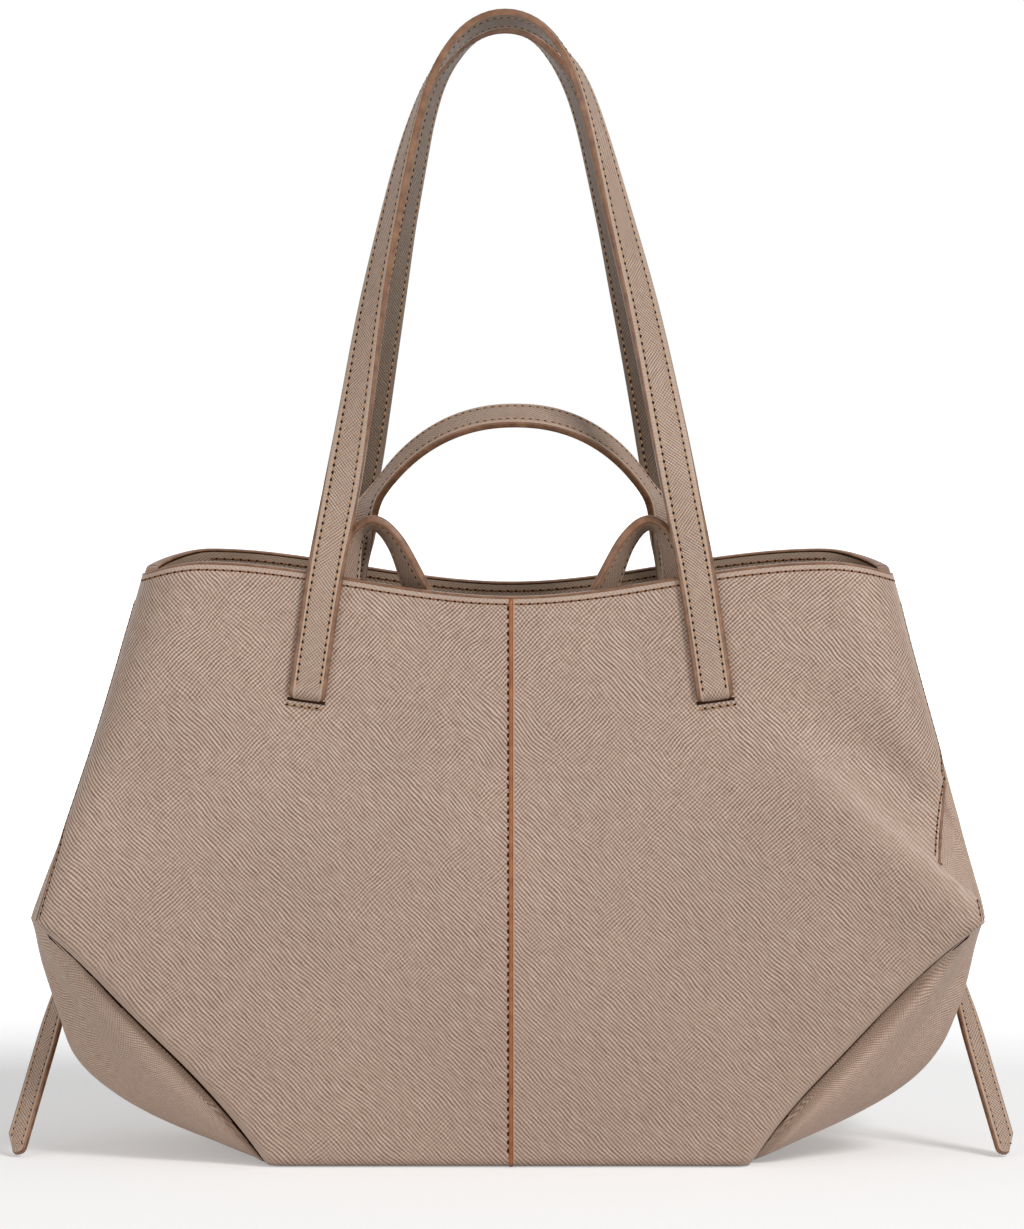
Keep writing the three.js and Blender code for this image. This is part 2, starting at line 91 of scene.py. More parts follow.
def addNode(tree, kind, links, **settings):
    node = tree.nodes.new("ShaderNode" + kind)
    for key, value in settings.items():
        setattr(node, key, value)
    for key, source in links.items():
        if isinstance(source, bpy.types.NodeSocket):
            tree.links.new(source, node.inputs[key])
        else:
            node.inputs[key].default_value = source
    return node


# The nodes used most: noise of a size in millimetres, a value mapped to a range, and sums
def noiseNode(tree, place, size, detail):
    return addNode(tree, "TexNoise", {"Vector": place, "Scale": 1 / (size * mm), "Detail": detail})


def mapRange(tree, value, low, high, fromLow=0.0, fromHigh=1.0, **settings):
    links = {"Value": value, "From Min": fromLow, "From Max": fromHigh, "To Min": low, "To Max": high}
    return addNode(tree, "MapRange", links, **settings).outputs["Result"]


def mathNode(tree, operation, *values):
    return addNode(tree, "Math", dict(enumerate(values)), operation=operation).outputs["Value"]


def newMaterial(name):
    material = bpy.data.materials.new(name)
    material.use_nodes = True
    material.node_tree.nodes.clear()
    return material, material.node_tree


def closeMaterial(tree, links):
    shader = addNode(tree, "BsdfPrincipled", links)
    addNode(tree, "OutputMaterial", {"Surface": shader.outputs["BSDF"]})


def setRamp(node, stops):
    ramp = node.color_ramp
    while len(ramp.elements) < len(stops):
        ramp.elements.new(0.5)
    for element, (position, color) in zip(ramp.elements, stops):
        element.position = position
        element.color = srgb(color)


# One set of slanting ridges: a steady wave and short streaks that swell and fade along the ridges
def ridgeSet(tree, place, turn, period):
    slant = addNode(tree, "Mapping", {"Vector": place, "Rotation": (0, 0, math.radians(turn))})
    slant = slant.outputs["Vector"]
    wave = addNode(tree, "TexWave", {"Vector": slant, "Scale": 0.314 / (period * mm), "Distortion": 2.4,
                                     "Detail": 2.0, "Detail Scale": 0.75, "Detail Roughness": 0.6},
                   wave_type="BANDS", bands_direction="X")
    stretch = (1 / (0.62 * period * mm), 1 / (5 * period * mm), 1)
    drawn = addNode(tree, "Mapping", {"Vector": slant, "Scale": stretch}).outputs["Vector"]
    streak = addNode(tree, "TexNoise", {"Vector": drawn, "Scale": 1.0, "Detail": 2.0, "Roughness": 0.55})
    lifted = mapRange(tree, streak.outputs["Fac"], 0.0, 1.0, 0.28, 0.72)
    mixed = addNode(tree, "Mix", {0: 0.3, 2: wave.outputs["Fac"], 3: lifted})
    return mixed.outputs["Result"]


# Calf leather pressed with a slanting cross grain: fine broken ridges that catch a soft satin light,
# darker dye in the grooves, a flatter, paler skin where it is pressed beside seams and folds, and painted
# shade beside the gusset creases
def crossGrainLeather(name, tone, grain, mapped=True):
    material, tree = newMaterial(name)
    if mapped:
        place = addNode(tree, "UVMap", {}, uv_map="leatherMap").outputs["UV"]
    else:
        place = addNode(tree, "TexCoord", {}).outputs["Object"]
    wander = noiseNode(tree, place, 26, 1.0).outputs["Color"]
    reach = (grain["wander"] * mm,) * 3
    shifted = addNode(tree, "VectorMath", {0: wander, 1: reach, 2: place},
                      operation="MULTIPLY_ADD").outputs["Vector"]
    falling = ridgeSet(tree, shifted, -44, grain["period"])
    rising = ridgeSet(tree, shifted, 45, grain["period"] * 0.96)
    # the rising ridges cross the falling ones, and take over in wide patches higher up
    patch = noiseNode(tree, place, 38, 1.5).outputs["Fac"]
    height = addNode(tree, "SeparateXYZ", {"Vector": place}).outputs["Y"]
    lift = mapRange(tree, height, grain["crossLow"], grain["crossHigh"], 0.07, 0.24)
    share = mapRange(tree, mathNode(tree, "ADD", patch, lift), 0.0, 1.0, 0.36, 0.62,
                     interpolation_type="SMOOTHSTEP")
    centred = 0.0
    for ridges, least, most in ((falling, 1.0, 0.42), (rising, 0.16, 0.95)):
        weight = mapRange(tree, share, least, most)
        centred = mathNode(tree, "MULTIPLY_ADD", mathNode(tree, "SUBTRACT", ridges, 0.5), weight, centred)
    # ridges break up into short pieces, and stand higher towards the rim
    strength = mapRange(tree, noiseNode(tree, place, 5, 2.0).outputs["Fac"], 0.6, 1.1, 0.3, 0.7)
    stand = mapRange(tree, height, grain["depthLow"], grain["depthHigh"], 0.06, 0.25)
    pressedAndShade = addNode(tree, "Attribute", {}, attribute_name="pressedAndShade").outputs["Fac"]
    for part in (strength, stand, mapRange(tree, pressedAndShade, 1.0, 0.2)):
        centred = mathNode(tree, "MULTIPLY", centred, part)
    pores = mapRange(tree, noiseNode(tree, place, 0.7, 2.0).outputs["Fac"], 0.4, 0.6)
    # pressed skin comes out paler; values below zero paint shade into the colour beside the gusset creases
    relief = mathNode(tree, "MULTIPLY_ADD", pressedAndShade, 0.13, mathNode(tree, "ADD", centred, pores))
    dye = addNode(tree, "ValToRGB", {"Fac": relief})
    setRamp(dye, [(0.14, tone["groove"]), (0.5, tone["body"]), (0.86, tone["ridge"])])
    shade = mapRange(tree, noiseNode(tree, place, 95, 2.0).outputs["Fac"], 0.94, 1.05, 0.3, 0.7)
    color = addNode(tree, "VectorMath", {0: dye.outputs["Color"], "Scale": shade}, operation="SCALE")
    gloss = mapRange(tree, relief, 0.64, grain["roughness"])
    bump = addNode(tree, "Bump", {"Strength": grain["bump"], "Distance": 0.3 * mm, "Height": relief})
    closeMaterial(tree, {"Base Color": color.outputs["Vector"], "Roughness": gloss, "IOR": 1.48,
                         "Specular IOR Level": 0.42, "Normal": bump.outputs["Normal"]})
    return material


# Two tones in fine specks, which also give the surface a little relief
def speckled(name, tones, size, detail, strength, links):
    material, tree = newMaterial(name)
    place = addNode(tree, "TexCoord", {}).outputs["Object"]
    specks = noiseNode(tree, place, size, detail).outputs["Fac"]
    ramp = addNode(tree, "ValToRGB", {"Fac": specks})
    setRamp(ramp, [(0.3, tones[0]), (0.7, tones[1])])
    bump = addNode(tree, "Bump", {"Strength": strength, "Distance": 0.2 * mm, "Height": specks})
    closeMaterial(tree, {"Base Color": ramp.outputs["Color"], "Normal": bump.outputs["Normal"], **links})
    return material


# Edge dye rolled on in coats: a smooth, slightly glossy brown bead with faint lengthwise unevenness
def edgePaint(name, dark, light, rough):
    return speckled(name, (dark, light), 5, 3.0, 0.12, {"Roughness": rough, "IOR": 1.5})


# Matt materials that show a fine nap or fibre
def napped(name, dark, light, size, rough, sheen):
    return speckled(name, (dark, light), size, 4.0, 0.3,
                    {"Roughness": rough, "Sheen Weight": sheen, "Specular IOR Level": 0.12})


bodyTone = dict(groove="#7E6050", body="#AE9382", ridge="#D4BFAE")
# the gusset tone is a little lighter than the body's: painted light that brightens the lobes
litGussetTone = dict(groove="#876958", body="#B89C8A", ridge="#DDC8B6")
strapTone = dict(groove="#7B5E4D", body="#AB917F", ridge="#D0BAA8")
facingTone = dict(groove="#7E6859", body="#AE9580", ridge="#C6AF9A")
# the backing on the under faces: a darker layer of its own, darkened further as painted shade of the
# undersides
shadedBackingTone = dict(groove="#54453A", body="#756253", ridge="#8E7A69")
bodyGrain = dict(period=1.6, wander=4.0, crossLow=-0.2, crossHigh=0.02,
                 depthLow=0.85, depthHigh=1.1, bump=0.7, roughness=0.46)
gussetGrain = dict(period=1.15, wander=4.0, crossLow=0.02, crossHigh=0.02,
                   depthLow=0.8, depthHigh=0.8, bump=0.6, roughness=0.46)
strapGrain = dict(period=1.25, wander=2.0, crossLow=0.02, crossHigh=0.02,
                  depthLow=0.9, depthHigh=0.9, bump=0.6, roughness=0.44)
bodyLeather = crossGrainLeather("crossGrainCalf", bodyTone, bodyGrain)
baseLeather = crossGrainLeather("crossGrainCalfBase", bodyTone, bodyGrain, mapped=False)
gussetLeather = crossGrainLeather("crossGrainCalfGusset", litGussetTone, gussetGrain)
strapLeather = crossGrainLeather("crossGrainCalfStrap", strapTone, strapGrain)
facingLeather = crossGrainLeather("crossGrainCalfFacing", facingTone, strapGrain)
shadedBackingLeather = crossGrainLeather("crossGrainCalfBackingShaded", shadedBackingTone, strapGrain)
# painted edges: a brown line along the cut edges, and the warmer line of the centre seam
brownEdge = edgePaint("paintedLeatherEdge", "#6D4830", "#966C4E", 0.36)
rustEdge = edgePaint("rustPaintedEdge", "#8C4C22", "#B06A38", 0.42)
# the dull inner face of the leather
fleshSide = napped("fleshSideLeather", "#7B6553", "#95806C", 0.8, 0.85, 0.1)
# pale stitches that stand out on the straps, darker ones that sink into the body, and their holes as black
# beads of painted shade
threadTan = napped("waxedLinenThread", "#A9784E", "#C89E72", 0.25, 0.6, 0.15)
threadRust = napped("waxedRustThread", "#774726", "#9E6C42", 0.25, 0.6, 0.1)
holeDark = napped("stitchHoleShade", "#26140B", "#3C2316", 0.5, 0.85, 0.0)
# a soft dark inside, stiff brown board and pale flat tape
suedeCloth = napped("microfibreSuede", "#645345", "#7B6857", 0.5, 0.95, 0.3)
leatherBoard = napped("leatherFibreBoard", "#5E5244", "#776957", 1.2, 0.9, 0.0)
wovenTape = napped("cottonTape", "#A99B88", "#C4B7A5", 0.6, 0.92, 0.1)
print("materials:", len(bpy.data.materials))


# Shared modelling helpers

# A grid moved by a function, which gives each vertex its place, its leather map and how pressed it is (below
# zero: painted shade)
def movedGrid(columns, rows, place, flip=False):
    bm = bmesh.new()
    bmesh.ops.create_grid(bm, x_segments=columns, y_segments=rows, size=0.5)
    uvLayer = bm.loops.layers.uv.new("leatherMap")
    pressShadeLayer = bm.verts.layers.float.new("pressedAndShade")
    maps = {}
    for vert in bm.verts:
        spot, uv, pressAndShade = place(vert.co.x + 0.5, vert.co.y + 0.5)
        maps[vert] = (uv[0] * mm, uv[1] * mm)
        vert.co = spot * mm
        vert[pressShadeLayer] = pressAndShade
    for face in bm.faces:
        face.smooth = True
        for loop in face.loops:
            loop[uvLayer].uv = maps[loop.vert]
    if flip:
        bmesh.ops.reverse_faces(bm, faces=bm.faces)
    return bm


def addPiece(name, bm, materials, body="bag", nodes=()):
    mesh = bpy.data.meshes.new(name)
    bm.to_mesh(mesh)
    bm.free()
    for material in materials:
        mesh.materials.append(material)
    piece = bpy.data.objects.new(name, mesh)
    bpy.context.scene.collection.objects.link(piece)
    if body:
        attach(piece, body)
    if nodes:
        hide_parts(*nodes)
    return piece


def thicken(piece, thickness, edgeRound=0.35):
    solid = piece.modifiers.new("thickness", "SOLIDIFY")
    solid.thickness = thickness * mm
    solid.offset = -1
    solid.material_offset = 1
    solid.material_offset_rim = 2
    edge = piece.modifiers.new("roundedEdge", "BEVEL")
    edge.width = edgeRound * mm
    edge.segments = 2
    edge.limit_method = "ANGLE"
    edge.angle_limit = math.radians(50)
    edge.harden_normals = True


# Place and direction along a curve by length
def railOf(curve, steps=500):
    fine = [curve(i / steps) for i in range(steps + 1)]
    run = [0.0]
    for a, b in zip(fine, fine[1:]):
        run.append(run[-1] + (b - a).length)

    def at(length):
        goal = clamp(length, 0, run[-1])
        low, high = 0, steps - 1
        while low < high:
            middle = (low + high) // 2
            if run[middle + 1] < goal:
                low = middle + 1
            else:
                high = middle
        part = (goal - run[low]) / max(run[low + 1] - run[low], 1e-9)
        before = (fine[low + 1] - fine[low]).normalized()
        after = (fine[min(low + 2, steps)] - fine[min(low + 1, steps - 1)]).normalized()
        return fine[low].lerp(fine[low + 1], part), before.lerp(after, part).normalized()
    return at, run[-1]


# Outline of a strip of two layers: painted edges with round shoulders, and a sunk line for each stitch row
def stripOutline(width, thickness, painted, sewn):
    h, k = width / 2, thickness / 2
    half = [(h - 0.12, k * 0.55), (h - 0.4 * painted, k * 0.84), (h - painted, k),
            (h - painted - 0.25, k + 0.02), (h - sewn + 0.5, k), (h - sewn, k - 0.2),
            (h - sewn - 0.5, k), ((h - sewn) * 0.7, k + 0.08), ((h - sewn) * 0.25, k + 0.1)]
    side = [(h, k * 0.3), (h - 0.14, 0.0), (h, -k * 0.3)]
    top = [(-w, n) for w, n in half] + half[::-1]
    return top + side + [(w, -n) for w, n in top[::-1]] + [(-w, n) for w, n in side[::-1]]


def spaced(low, high, steps):
    return [lerp(low, high, i / steps) for i in range(steps + 1)]


# Sweeps a closed outline along frames of (middle, across, face) at the given places, and closes its ends.
# Faces further out than painted get the second material, and those of the under face the third.
def sweptStrip(frameAt, places, outline, painted=None, widthAt=None):
    loop = outline + outline[:1]
    run = [0.0]
    for a, b in zip(loop, loop[1:]):
        run.append(run[-1] + math.dist(a, b))

    def place(s, t):
        i = round(s * (len(loop) - 1))
        w, n = loop[i]
        here = places[round(t * (len(places) - 1))]
        middle, across, face = frameAt(here)
        pressedAndShade = 1.0 if painted is None else ease(abs(w), painted - 1.5, painted - 1.0)
        if widthAt:
            w = widthAt(here, w)
        return middle + across * w + face * n, (run[i], here), pressedAndShade
    bm = movedGrid(len(loop) - 1, len(places) - 1, place)
    if painted is not None:
        uvLayer = bm.loops.layers.uv["leatherMap"]
        for face in bm.faces:
            us = [corner[uvLayer].uv.x / mm for corner in face.loops]
            i = max(j for j in range(len(run)) if run[j] <= (min(us) + max(us)) / 2)
            outer = min(abs(loop[i][0]), abs(loop[i + 1][0]))
            under = max(loop[i][1], loop[i + 1][1]) < 0
            if outer > painted + (0.2 if under else -0.01):
                face.material_index = 1
            elif under:
                face.material_index = 2
    bmesh.ops.remove_doubles(bm, verts=bm.verts, dist=0.002 * mm)
    rims = [edge for edge in bm.edges if edge.is_boundary]
    caps = bmesh.ops.holes_fill(bm, edges=rims, sides=0)["faces"]
    for face in caps:
        face.material_index = 0 if painted is None else 1
    bmesh.ops.recalc_face_normals(bm, faces=bm.faces)
    return bm


# Rows of stitches: each is a copy of one thread with a dark hole at its end
def sewnRows(rows, pitch, thread, hole):
    part = bmesh.new()
    if thread:
        size = Matrix.Diagonal((thread[0] / 2 * mm, thread[1] / 2 * mm, thread[2] * mm, 1))
        bmesh.ops.create_uvsphere(part, u_segments=8, v_segments=5, radius=1, matrix=size)
    size = Matrix.Diagonal((hole[0] / 2 * mm, hole[1] / 2 * mm, hole[2] * mm, 1))
    made = bmesh.ops.create_uvsphere(part, u_segments=8, v_segments=4, radius=1,
                                     matrix=Matrix.Translation((pitch / 2 * mm, 0, 0)) @ size)
    for face in {face for vert in made["verts"] for face in vert.link_faces}:
        face.material_index = 1
    for face in part.faces:
        face.smooth = True
    stitch = bpy.data.meshes.new("stitch")
    part.to_mesh(stitch)
    part.free()
    bm = bmesh.new()
    for row in rows:
        for spot, along, normal in row:
            side = normal.cross(along).normalized()
            turn = Matrix((along, side, normal)).transposed().to_4x4()
            copy = stitch.copy()
            copy.transform(Matrix.Translation(spot * mm) @ turn)
            bm.from_mesh(copy)
            bpy.data.meshes.remove(copy)
    bpy.data.meshes.remove(stitch)
    return bm


def addStitches(name, rows, style, thread, body="bag"):
    bm = sewnRows(rows, style["pitch"], style["thread"], style["hole"])
    return addPiece(name, bm, (thread, holeDark), body)


# Body of the bag

shape = dict(baseHalfWidth=113, baseHalfDepth=75, wingHalfWidth=225, wingHeight=118, wingHalfDepth=82.9,
             rimHalfWidth=181, rimHalfDepth=56, rimHeight=273, rimRise=16.5, rimCornerDrop=7, rimSideDrop=10,
             rimCornerRadius=28, creaseRadius=7, creaseBow=9, baseRoll=5, lobeBulge=57.5, leftSkew=0.74,
             rightSkew=0.8, sideFold=22, rimFold=10, lean=0.17366, belly=60, leather=2.0)
leanAngle = math.atan(shape["lean"])
flatShare = 0.8    # share of a panel's half width where its rounded side starts


def aboveWing(z):
    return (z - shape["wingHeight"]) / (shape["rimHeight"] - shape["wingHeight"])


def edgeX(z):
    low = z / shape["wingHeight"]
    if low < 1:
        bow = shape["creaseBow"] * 4 * low * (1 - low)
        return lerp(shape["baseHalfWidth"], shape["wingHalfWidth"], low) - bow
    return lerp(shape["wingHalfWidth"], shape["rimHalfWidth"], aboveWing(z))


# The sides flare out just above the creases, and the right one stands out a little more than the left.
# Stops of height and millimetres outwards, for the edges of the panels and for the outline of the lobes.
drape = dict(left=((0, 4.2), (21, 5), (44, 6.3), (72, 8.9), (87, 7), (98, 5), (112, 3.8), (127, 3.8),
                   (146, 3.4), (175, 1.9), (200, 0.6), (222, 0)),
             right=((0, 2), (32, 2.2), (53, 4.6), (81, 2.7), (100, 0.8), (117, 2), (130, 4.3), (146, 3.8),
                    (194, 4.8), (251, 5.5), (280, 6.7)),
             leftLobe=((0, 0), (20, 2.5), (40, 4), (60, 1), (79, -1), (98, 4.2), (108, 6.3), (118, 6.8),
                       (127, 6), (146, 4.2), (175, 1.9), (200, 0.6), (222, 0)),
             rightLobe=((0, 0), (32, -1.5), (52, -4.5), (79, -5.5), (98, -2.8), (108, 1), (117, 3.8),
                        (130, 4.6), (146, 4), (194, 4.8), (251, 5.5), (280, 6.7)))


def drapeAt(z, side, part=""):
    return smoothBetween(drape[("right" if side > 0 else "left") + part], z, 12)


def halfDepth(z):
    wing, belly, roll = shape["wingHeight"], shape["belly"], shape["baseRoll"]
    rise = (shape["wingHalfDepth"] - shape["baseHalfDepth"]) / wing
    under = clamp((roll - z) / roll)
    if z < wing:
        depth = shape["wingHalfDepth"] - rise * (wing - z)
    else:
        depth = shape["wingHalfDepth"] - shape["lean"] * (z - wing)
    near = max(belly - abs(z - wing), 0)    # the two slopes round into each other at the widest point
    rounding = (rise + shape["lean"]) * near * near / (4 * belly)
    return depth - rounding - roll * (1 - math.sqrt(1 - under * under))


def cornerRadius(z):
    return lerp(shape["creaseRadius"], shape["rimCornerRadius"], clamp(aboveWing(z)))


def flatWidth(z):
    return edgeX(z) - cornerRadius(z)


def panelRim(share):
    rise = shape["rimRise"] * ease(share, 0, flatShare)
    return shape["rimHeight"] + rise - shape["rimCornerDrop"] * ease(share, flatShare, 1)


def levelHeight(level, rim):
    wing = shape["wingHeight"]
    return level * wing if level <= 1 else lerp(wing, rim, level - 1)


# Soft folds that pull from the strap ends to the side corners of the front, the right one much stronger
relief = dict(foldStart=(112, 218), foldEnd=(223, 128), rightHeight=8.0, leftHeight=1.8, crestAbove=11,
              crestBelow=28, valley=0.9, valleyAbove=22, valleySpan=13, waves=0.9, waveSize=(70, 60),
              strapX=96, strapSpan=17, slitZ=219, dent=0.7, dentSpan=(15, 6))


# Place beside the fold line: share of the way along it, and millimetres above it
def besideFold(x, z):
    ax, az = relief["foldStart"]
    bx, bz = relief["foldEnd"]
    reach = math.hypot(bx - ax, bz - az)
    dx, dz = (bx - ax) / reach, (bz - az) / reach
    along = ((x - ax) * dx + (z - az) * dz) / reach
    return along, (x - ax) * -dz + (z - az) * dx


def frontRelief(x, z):
    height = relief["rightHeight"] if x > 0 else relief["leftHeight"]
    along, above = besideFold(abs(x), z)
    crest = math.exp(-(above / relief["crestAbove" if above > 0 else "crestBelow"]) ** 2)
    valley = relief["valley"] * math.exp(-((above - relief["valleyAbove"]) / relief["valleySpan"]) ** 2)
    fold = height * ease(along, -0.1, 0.7) * (1 - ease(along, 1.0, 1.25)) * (crest - valley)
    fromStrap = abs(x) - relief["strapX"]
    underStrap = math.exp(-(fromStrap / relief["strapSpan"]) ** 2) * ease(z, 195, 215)
    wide, tall = relief["waveSize"]
    wave = relief["waves"] * noise.noise(Vector((x / wide, z / tall, 4.2))) * (1 - underStrap)
    wide, tall = relief["dentSpan"]
    dent = relief["dent"] * math.exp(-(fromStrap / wide) ** 2 - ((z - relief["slitZ"]) / tall) ** 2)
    return fold + wave - dent


def foldCrest(x, z):
    along, above = besideFold(x, z)
    return math.exp(-((above - 3) / 9) ** 2) * ease(along, 0.1, 0.5) * (1 - ease(along, 0.98, 1.05))


# How far the side seam lies inside the outline of the front: on the right the gusset shows beside it,
# most where the fold covers the edge of the panel
sideSeam = dict(creaseShare=1.14, creaseEnd=113, start=119, inset=0.7, insetEnd=165, coverLow=129,
                coverHigh=148, deepest=14.4, shown=1.5, slope=0.35, shownTop=185, shownEnd=200,
                foldStart=(126, 132), foldEnd=(143, 150), foldIn=3.5)


def seamInset(z, side, plain):
    low, high, top = sideSeam["coverLow"], sideSeam["coverHigh"], sideSeam["shownTop"]
    near = sideSeam["inset"] * (1 - ease(z, high, sideSeam["insetEnd"]))
    if plain or side < 0:
        return near
    if z > top:
        return sideSeam["shown"] * (1 - ease(z, top, sideSeam["shownEnd"]))
    if z > high:
        return sideSeam["shown"] + (top - z) * sideSeam["slope"]
    return max(near, lerp(sideSeam["inset"], sideSeam["deepest"], clamp((z - low) / (high - low))))


# Share of the panel's width at its edge: rolled under along the crease, cut at the seam above it
def panelEnd(z, side, plain):
    inset, radius = seamInset(z, side, plain), cornerRadius(z)
    if inset < radius:
        seam = flatShare + (1 - flatShare) * math.asin(1 - inset / radius) / (math.pi / 2)
    else:
        seam = flatShare * (edgeX(z) - inset) / flatWidth(z)
    return lerp(sideSeam["creaseShare"], seam, ease(z, sideSeam["creaseEnd"], sideSeam["start"]))


def cornerTurn(share):
    return max(share - flatShare, 0) / (1 - flatShare) * math.pi / 2


def panelSpot(share, z, side, plain):
    radius, flat, turn = cornerRadius(z), flatWidth(z), cornerTurn(share)
    x = flat * share / flatShare if share < flatShare else flat + radius * math.sin(turn)
    x += drapeAt(z, side) * ease(share, 0.35, 1)
    y = radius * (1 - math.cos(turn)) - halfDepth(z)
    if not plain:
        y -= frontRelief(side * x, z) * (1 - ease(share, 0.88, 1.0))
    return Vector((side * x, y, z))


def flatRun(share, z):
    if share < flatShare:
        return flatWidth(z) * share / flatShare
    return flatWidth(z) + cornerRadius(z) * cornerTurn(share)


def shareAt(run, z):
    flat = flatWidth(z)
    if run < flat:
        return flatShare * run / flat
    return flatShare + (run - flat) / cornerRadius(z) * (1 - flatShare) / (math.pi / 2)


def turnedRound(spot):
    return Vector((-spot.x, -spot.y, spot.z))


# The back, which is plain, is the front mirrored in depth.
def mirrored(spot, plain=True):
    return Vector((spot.x, -spot.y, spot.z)) if plain else spot


def inwardAt(share, side):
    return Vector((-side * math.sin(cornerTurn(share)), math.cos(cornerTurn(share)), 0))


# The leather is pressed flat along its top edge.
def rimPressed(t):
    return 0.9 * ease(t, 0.985, 0.992)


panel = dict(columns=96, rows=150, seamHalf=1.0, flatColumns=0.68)


def panelPlace(side, plain):
    def place(s, t):
        level = 2 * t
        guess = levelHeight(level, panelRim(s))
        end = panelEnd(guess, side, plain)
        flatEnd = min(flatShare, end - 0.03)
        start = flatShare * panel["seamHalf"] / flatWidth(guess)
        if s < panel["flatColumns"]:
            share = lerp(start, flatEnd, s / panel["flatColumns"])
        else:
            share = lerp(flatEnd, end, (s - panel["flatColumns"]) / (1 - panel["flatColumns"]))
        z = levelHeight(level, panelRim(min(share, 1)))
        spot = panelSpot(share, z, side, plain)
        pressedAndShade = rimPressed(t)
        if z > sideSeam["creaseEnd"]:
            pressedAndShade = max(pressedAndShade, 0.8 * ease(s, 0.9, 0.95))
        else:
            pressedAndShade = max(pressedAndShade, 0.75 * ease(share, 0.8, 0.9))
        if side > 0 and not plain:
            folded = ease(z, *sideSeam["foldStart"]) * (1 - ease(z, *sideSeam["foldEnd"]))
            spot.y += sideSeam["foldIn"] * folded * ease(s, 0.9, 1)
            pressedAndShade = max(pressedAndShade, 0.9 * folded * ease(s, 0.6, 0.8), 0.6 * foldCrest(spot.x, z))
        return mirrored(spot, plain), (side * flatRun(share, z), z), pressedAndShade
    return place


panels = (("frontLeftPanel", "front_left_panel", -1, False),
          ("frontRightPanel", "front_right_panel", 1, False),
          ("backLeftPanel", "back_left_panel", -1, True),
          ("backRightPanel", "back_right_panel", 1, True))
for name, node, side, plain in panels:
    bm = movedGrid(panel["columns"], panel["rows"], panelPlace(side, plain), flip=(side < 0) != plain)
    piece = addPiece(name, bm, (bodyLeather, fleshSide, brownEdge), nodes=(node,))
    thicken(piece, shape["leather"])
print("panels done")


# Gussets: soft lobes tucked behind the rolled creases, lapped under the panels along the side seams.
# Their columns are closest beside the creases, where the lobes come out of a narrow deep groove, whose shade
# is painted into the leather down to black.
# shade is the span from the crease over which shade is painted into the lobes; faces below the darkest level
# take the black shade material
gusset = dict(farShare=0.2, farIn=3, farBack=2, farColumns=10, edgeColumns=26, middleColumns=42,
              edgeStart=0.82, rows=170, tuckIn=3.0, tuckBack=10.0, grooveStart=0.5, grooveEnd=2.2, roll=4.5,
              rollSpan=46, leftHollow=(2.5, 9), rightHollow=(7.0, 20), shade=(1.6, 4.4), blackShadeLevel=-1.2,
              lap=0.06, depth=2.2, thickness=1.8, lobeShare=0.45, skinSpan=60)


def gussetColumn(step):
    far, edge, middle = gusset["farColumns"], gusset["edgeColumns"], gusset["middleColumns"]
    count = abs(step)
    if count > middle + edge:
        c = 1 + gusset["farShare"] * (count - middle - edge) / far
    elif count > middle:
        c = 1 - (1 - gusset["edgeStart"]) * (1 - (count - middle) / edge) ** 2
    else:
        c = gusset["edgeStart"] * count / middle
    return math.copysign(c, step)


# Swell of a lobe, and the distance along its skin from the crease
def lobeSwell(c, z, side):
    q = 1 - min(abs(c), 1)
    skew = shape["rightSkew"] if side > 0 else shape["leftSkew"]
    lobe = shape["lobeBulge"] * math.sin(math.pi * clamp(z / shape["wingHeight"]) ** skew)
    swell = lobe * math.sin(math.pi / 2 * min(q / gusset["lobeShare"], 1))
    return swell, swell + gusset["skinSpan"] * q


def gussetSpot(c, level, side):
    far = max(abs(c) - 1, 0) / gusset["farShare"]
    q = 1 - min(abs(c), 1)
    plain = c > 0
    z = levelHeight(level, panelRim(1) - shape["rimSideDrop"] * ease(q, 0, 1))
    low = 1 - ease(z, 112, 122)
    wing = shape["wingHeight"]
    if z < wing:
        fold = shape["sideFold"] * math.sin(math.pi / 2 * z / wing)
    else:
        fold = lerp(shape["sideFold"], shape["rimFold"], aboveWing(z))
    swell, fromCrease = lobeSwell(c, z, side)
    groove = (1 - ease(fromCrease, gusset["grooveStart"], gusset["grooveEnd"])) * ease(wing - z, 3, 13)
    roll = gusset["roll"] * math.sin(math.pi * clamp(fromCrease / gusset["rollSpan"])) * ease(wing - z, 0, 30)
    x = edgeX(z) + swell - fold * ease(q, gusset["lobeShare"], 1)
    x -= low * (gusset["tuckIn"] * groove + gusset["farIn"] * far)
    x += lerp(drapeAt(z, side), drapeAt(z, side, "Lobe"), ease(q, 0.02, 0.3)) * (1 - ease(q, 0.5, 0.85))
    deep, span = gusset["rightHollow" if side > 0 else "leftHollow"]
    back = gusset["tuckBack"] * groove + deep * (1 - ease(fromCrease, 0, span)) * ease(wing - z, 6, 36) - roll
    y = (1 - q) * (halfDepth(z) - cornerRadius(z) - 0.4)
    y -= low * (back + gusset["farBack"] * far)
    spot = Vector((side * x, math.copysign(y, c) if c else 0, z))
    if far > 0 and low < 1:
        end = panelEnd(max(z, sideSeam["start"]), side, plain) - gusset["lap"]
        share = lerp(1, min(end, 0.97), far)
        lapped = panelSpot(share, z, side, plain)
        lapped += inwardAt(share, side) * gusset["depth"] * ease(far, 0, 0.25)
        if plain:
            lapped.y = -lapped.y
        spot = lapped.lerp(spot, low)
    return spot


def runningLengths(spots):
    run = [0.0]
    for a, b in zip(spots, spots[1:]):
        run.append(run[-1] + (b - a).length)
    return run


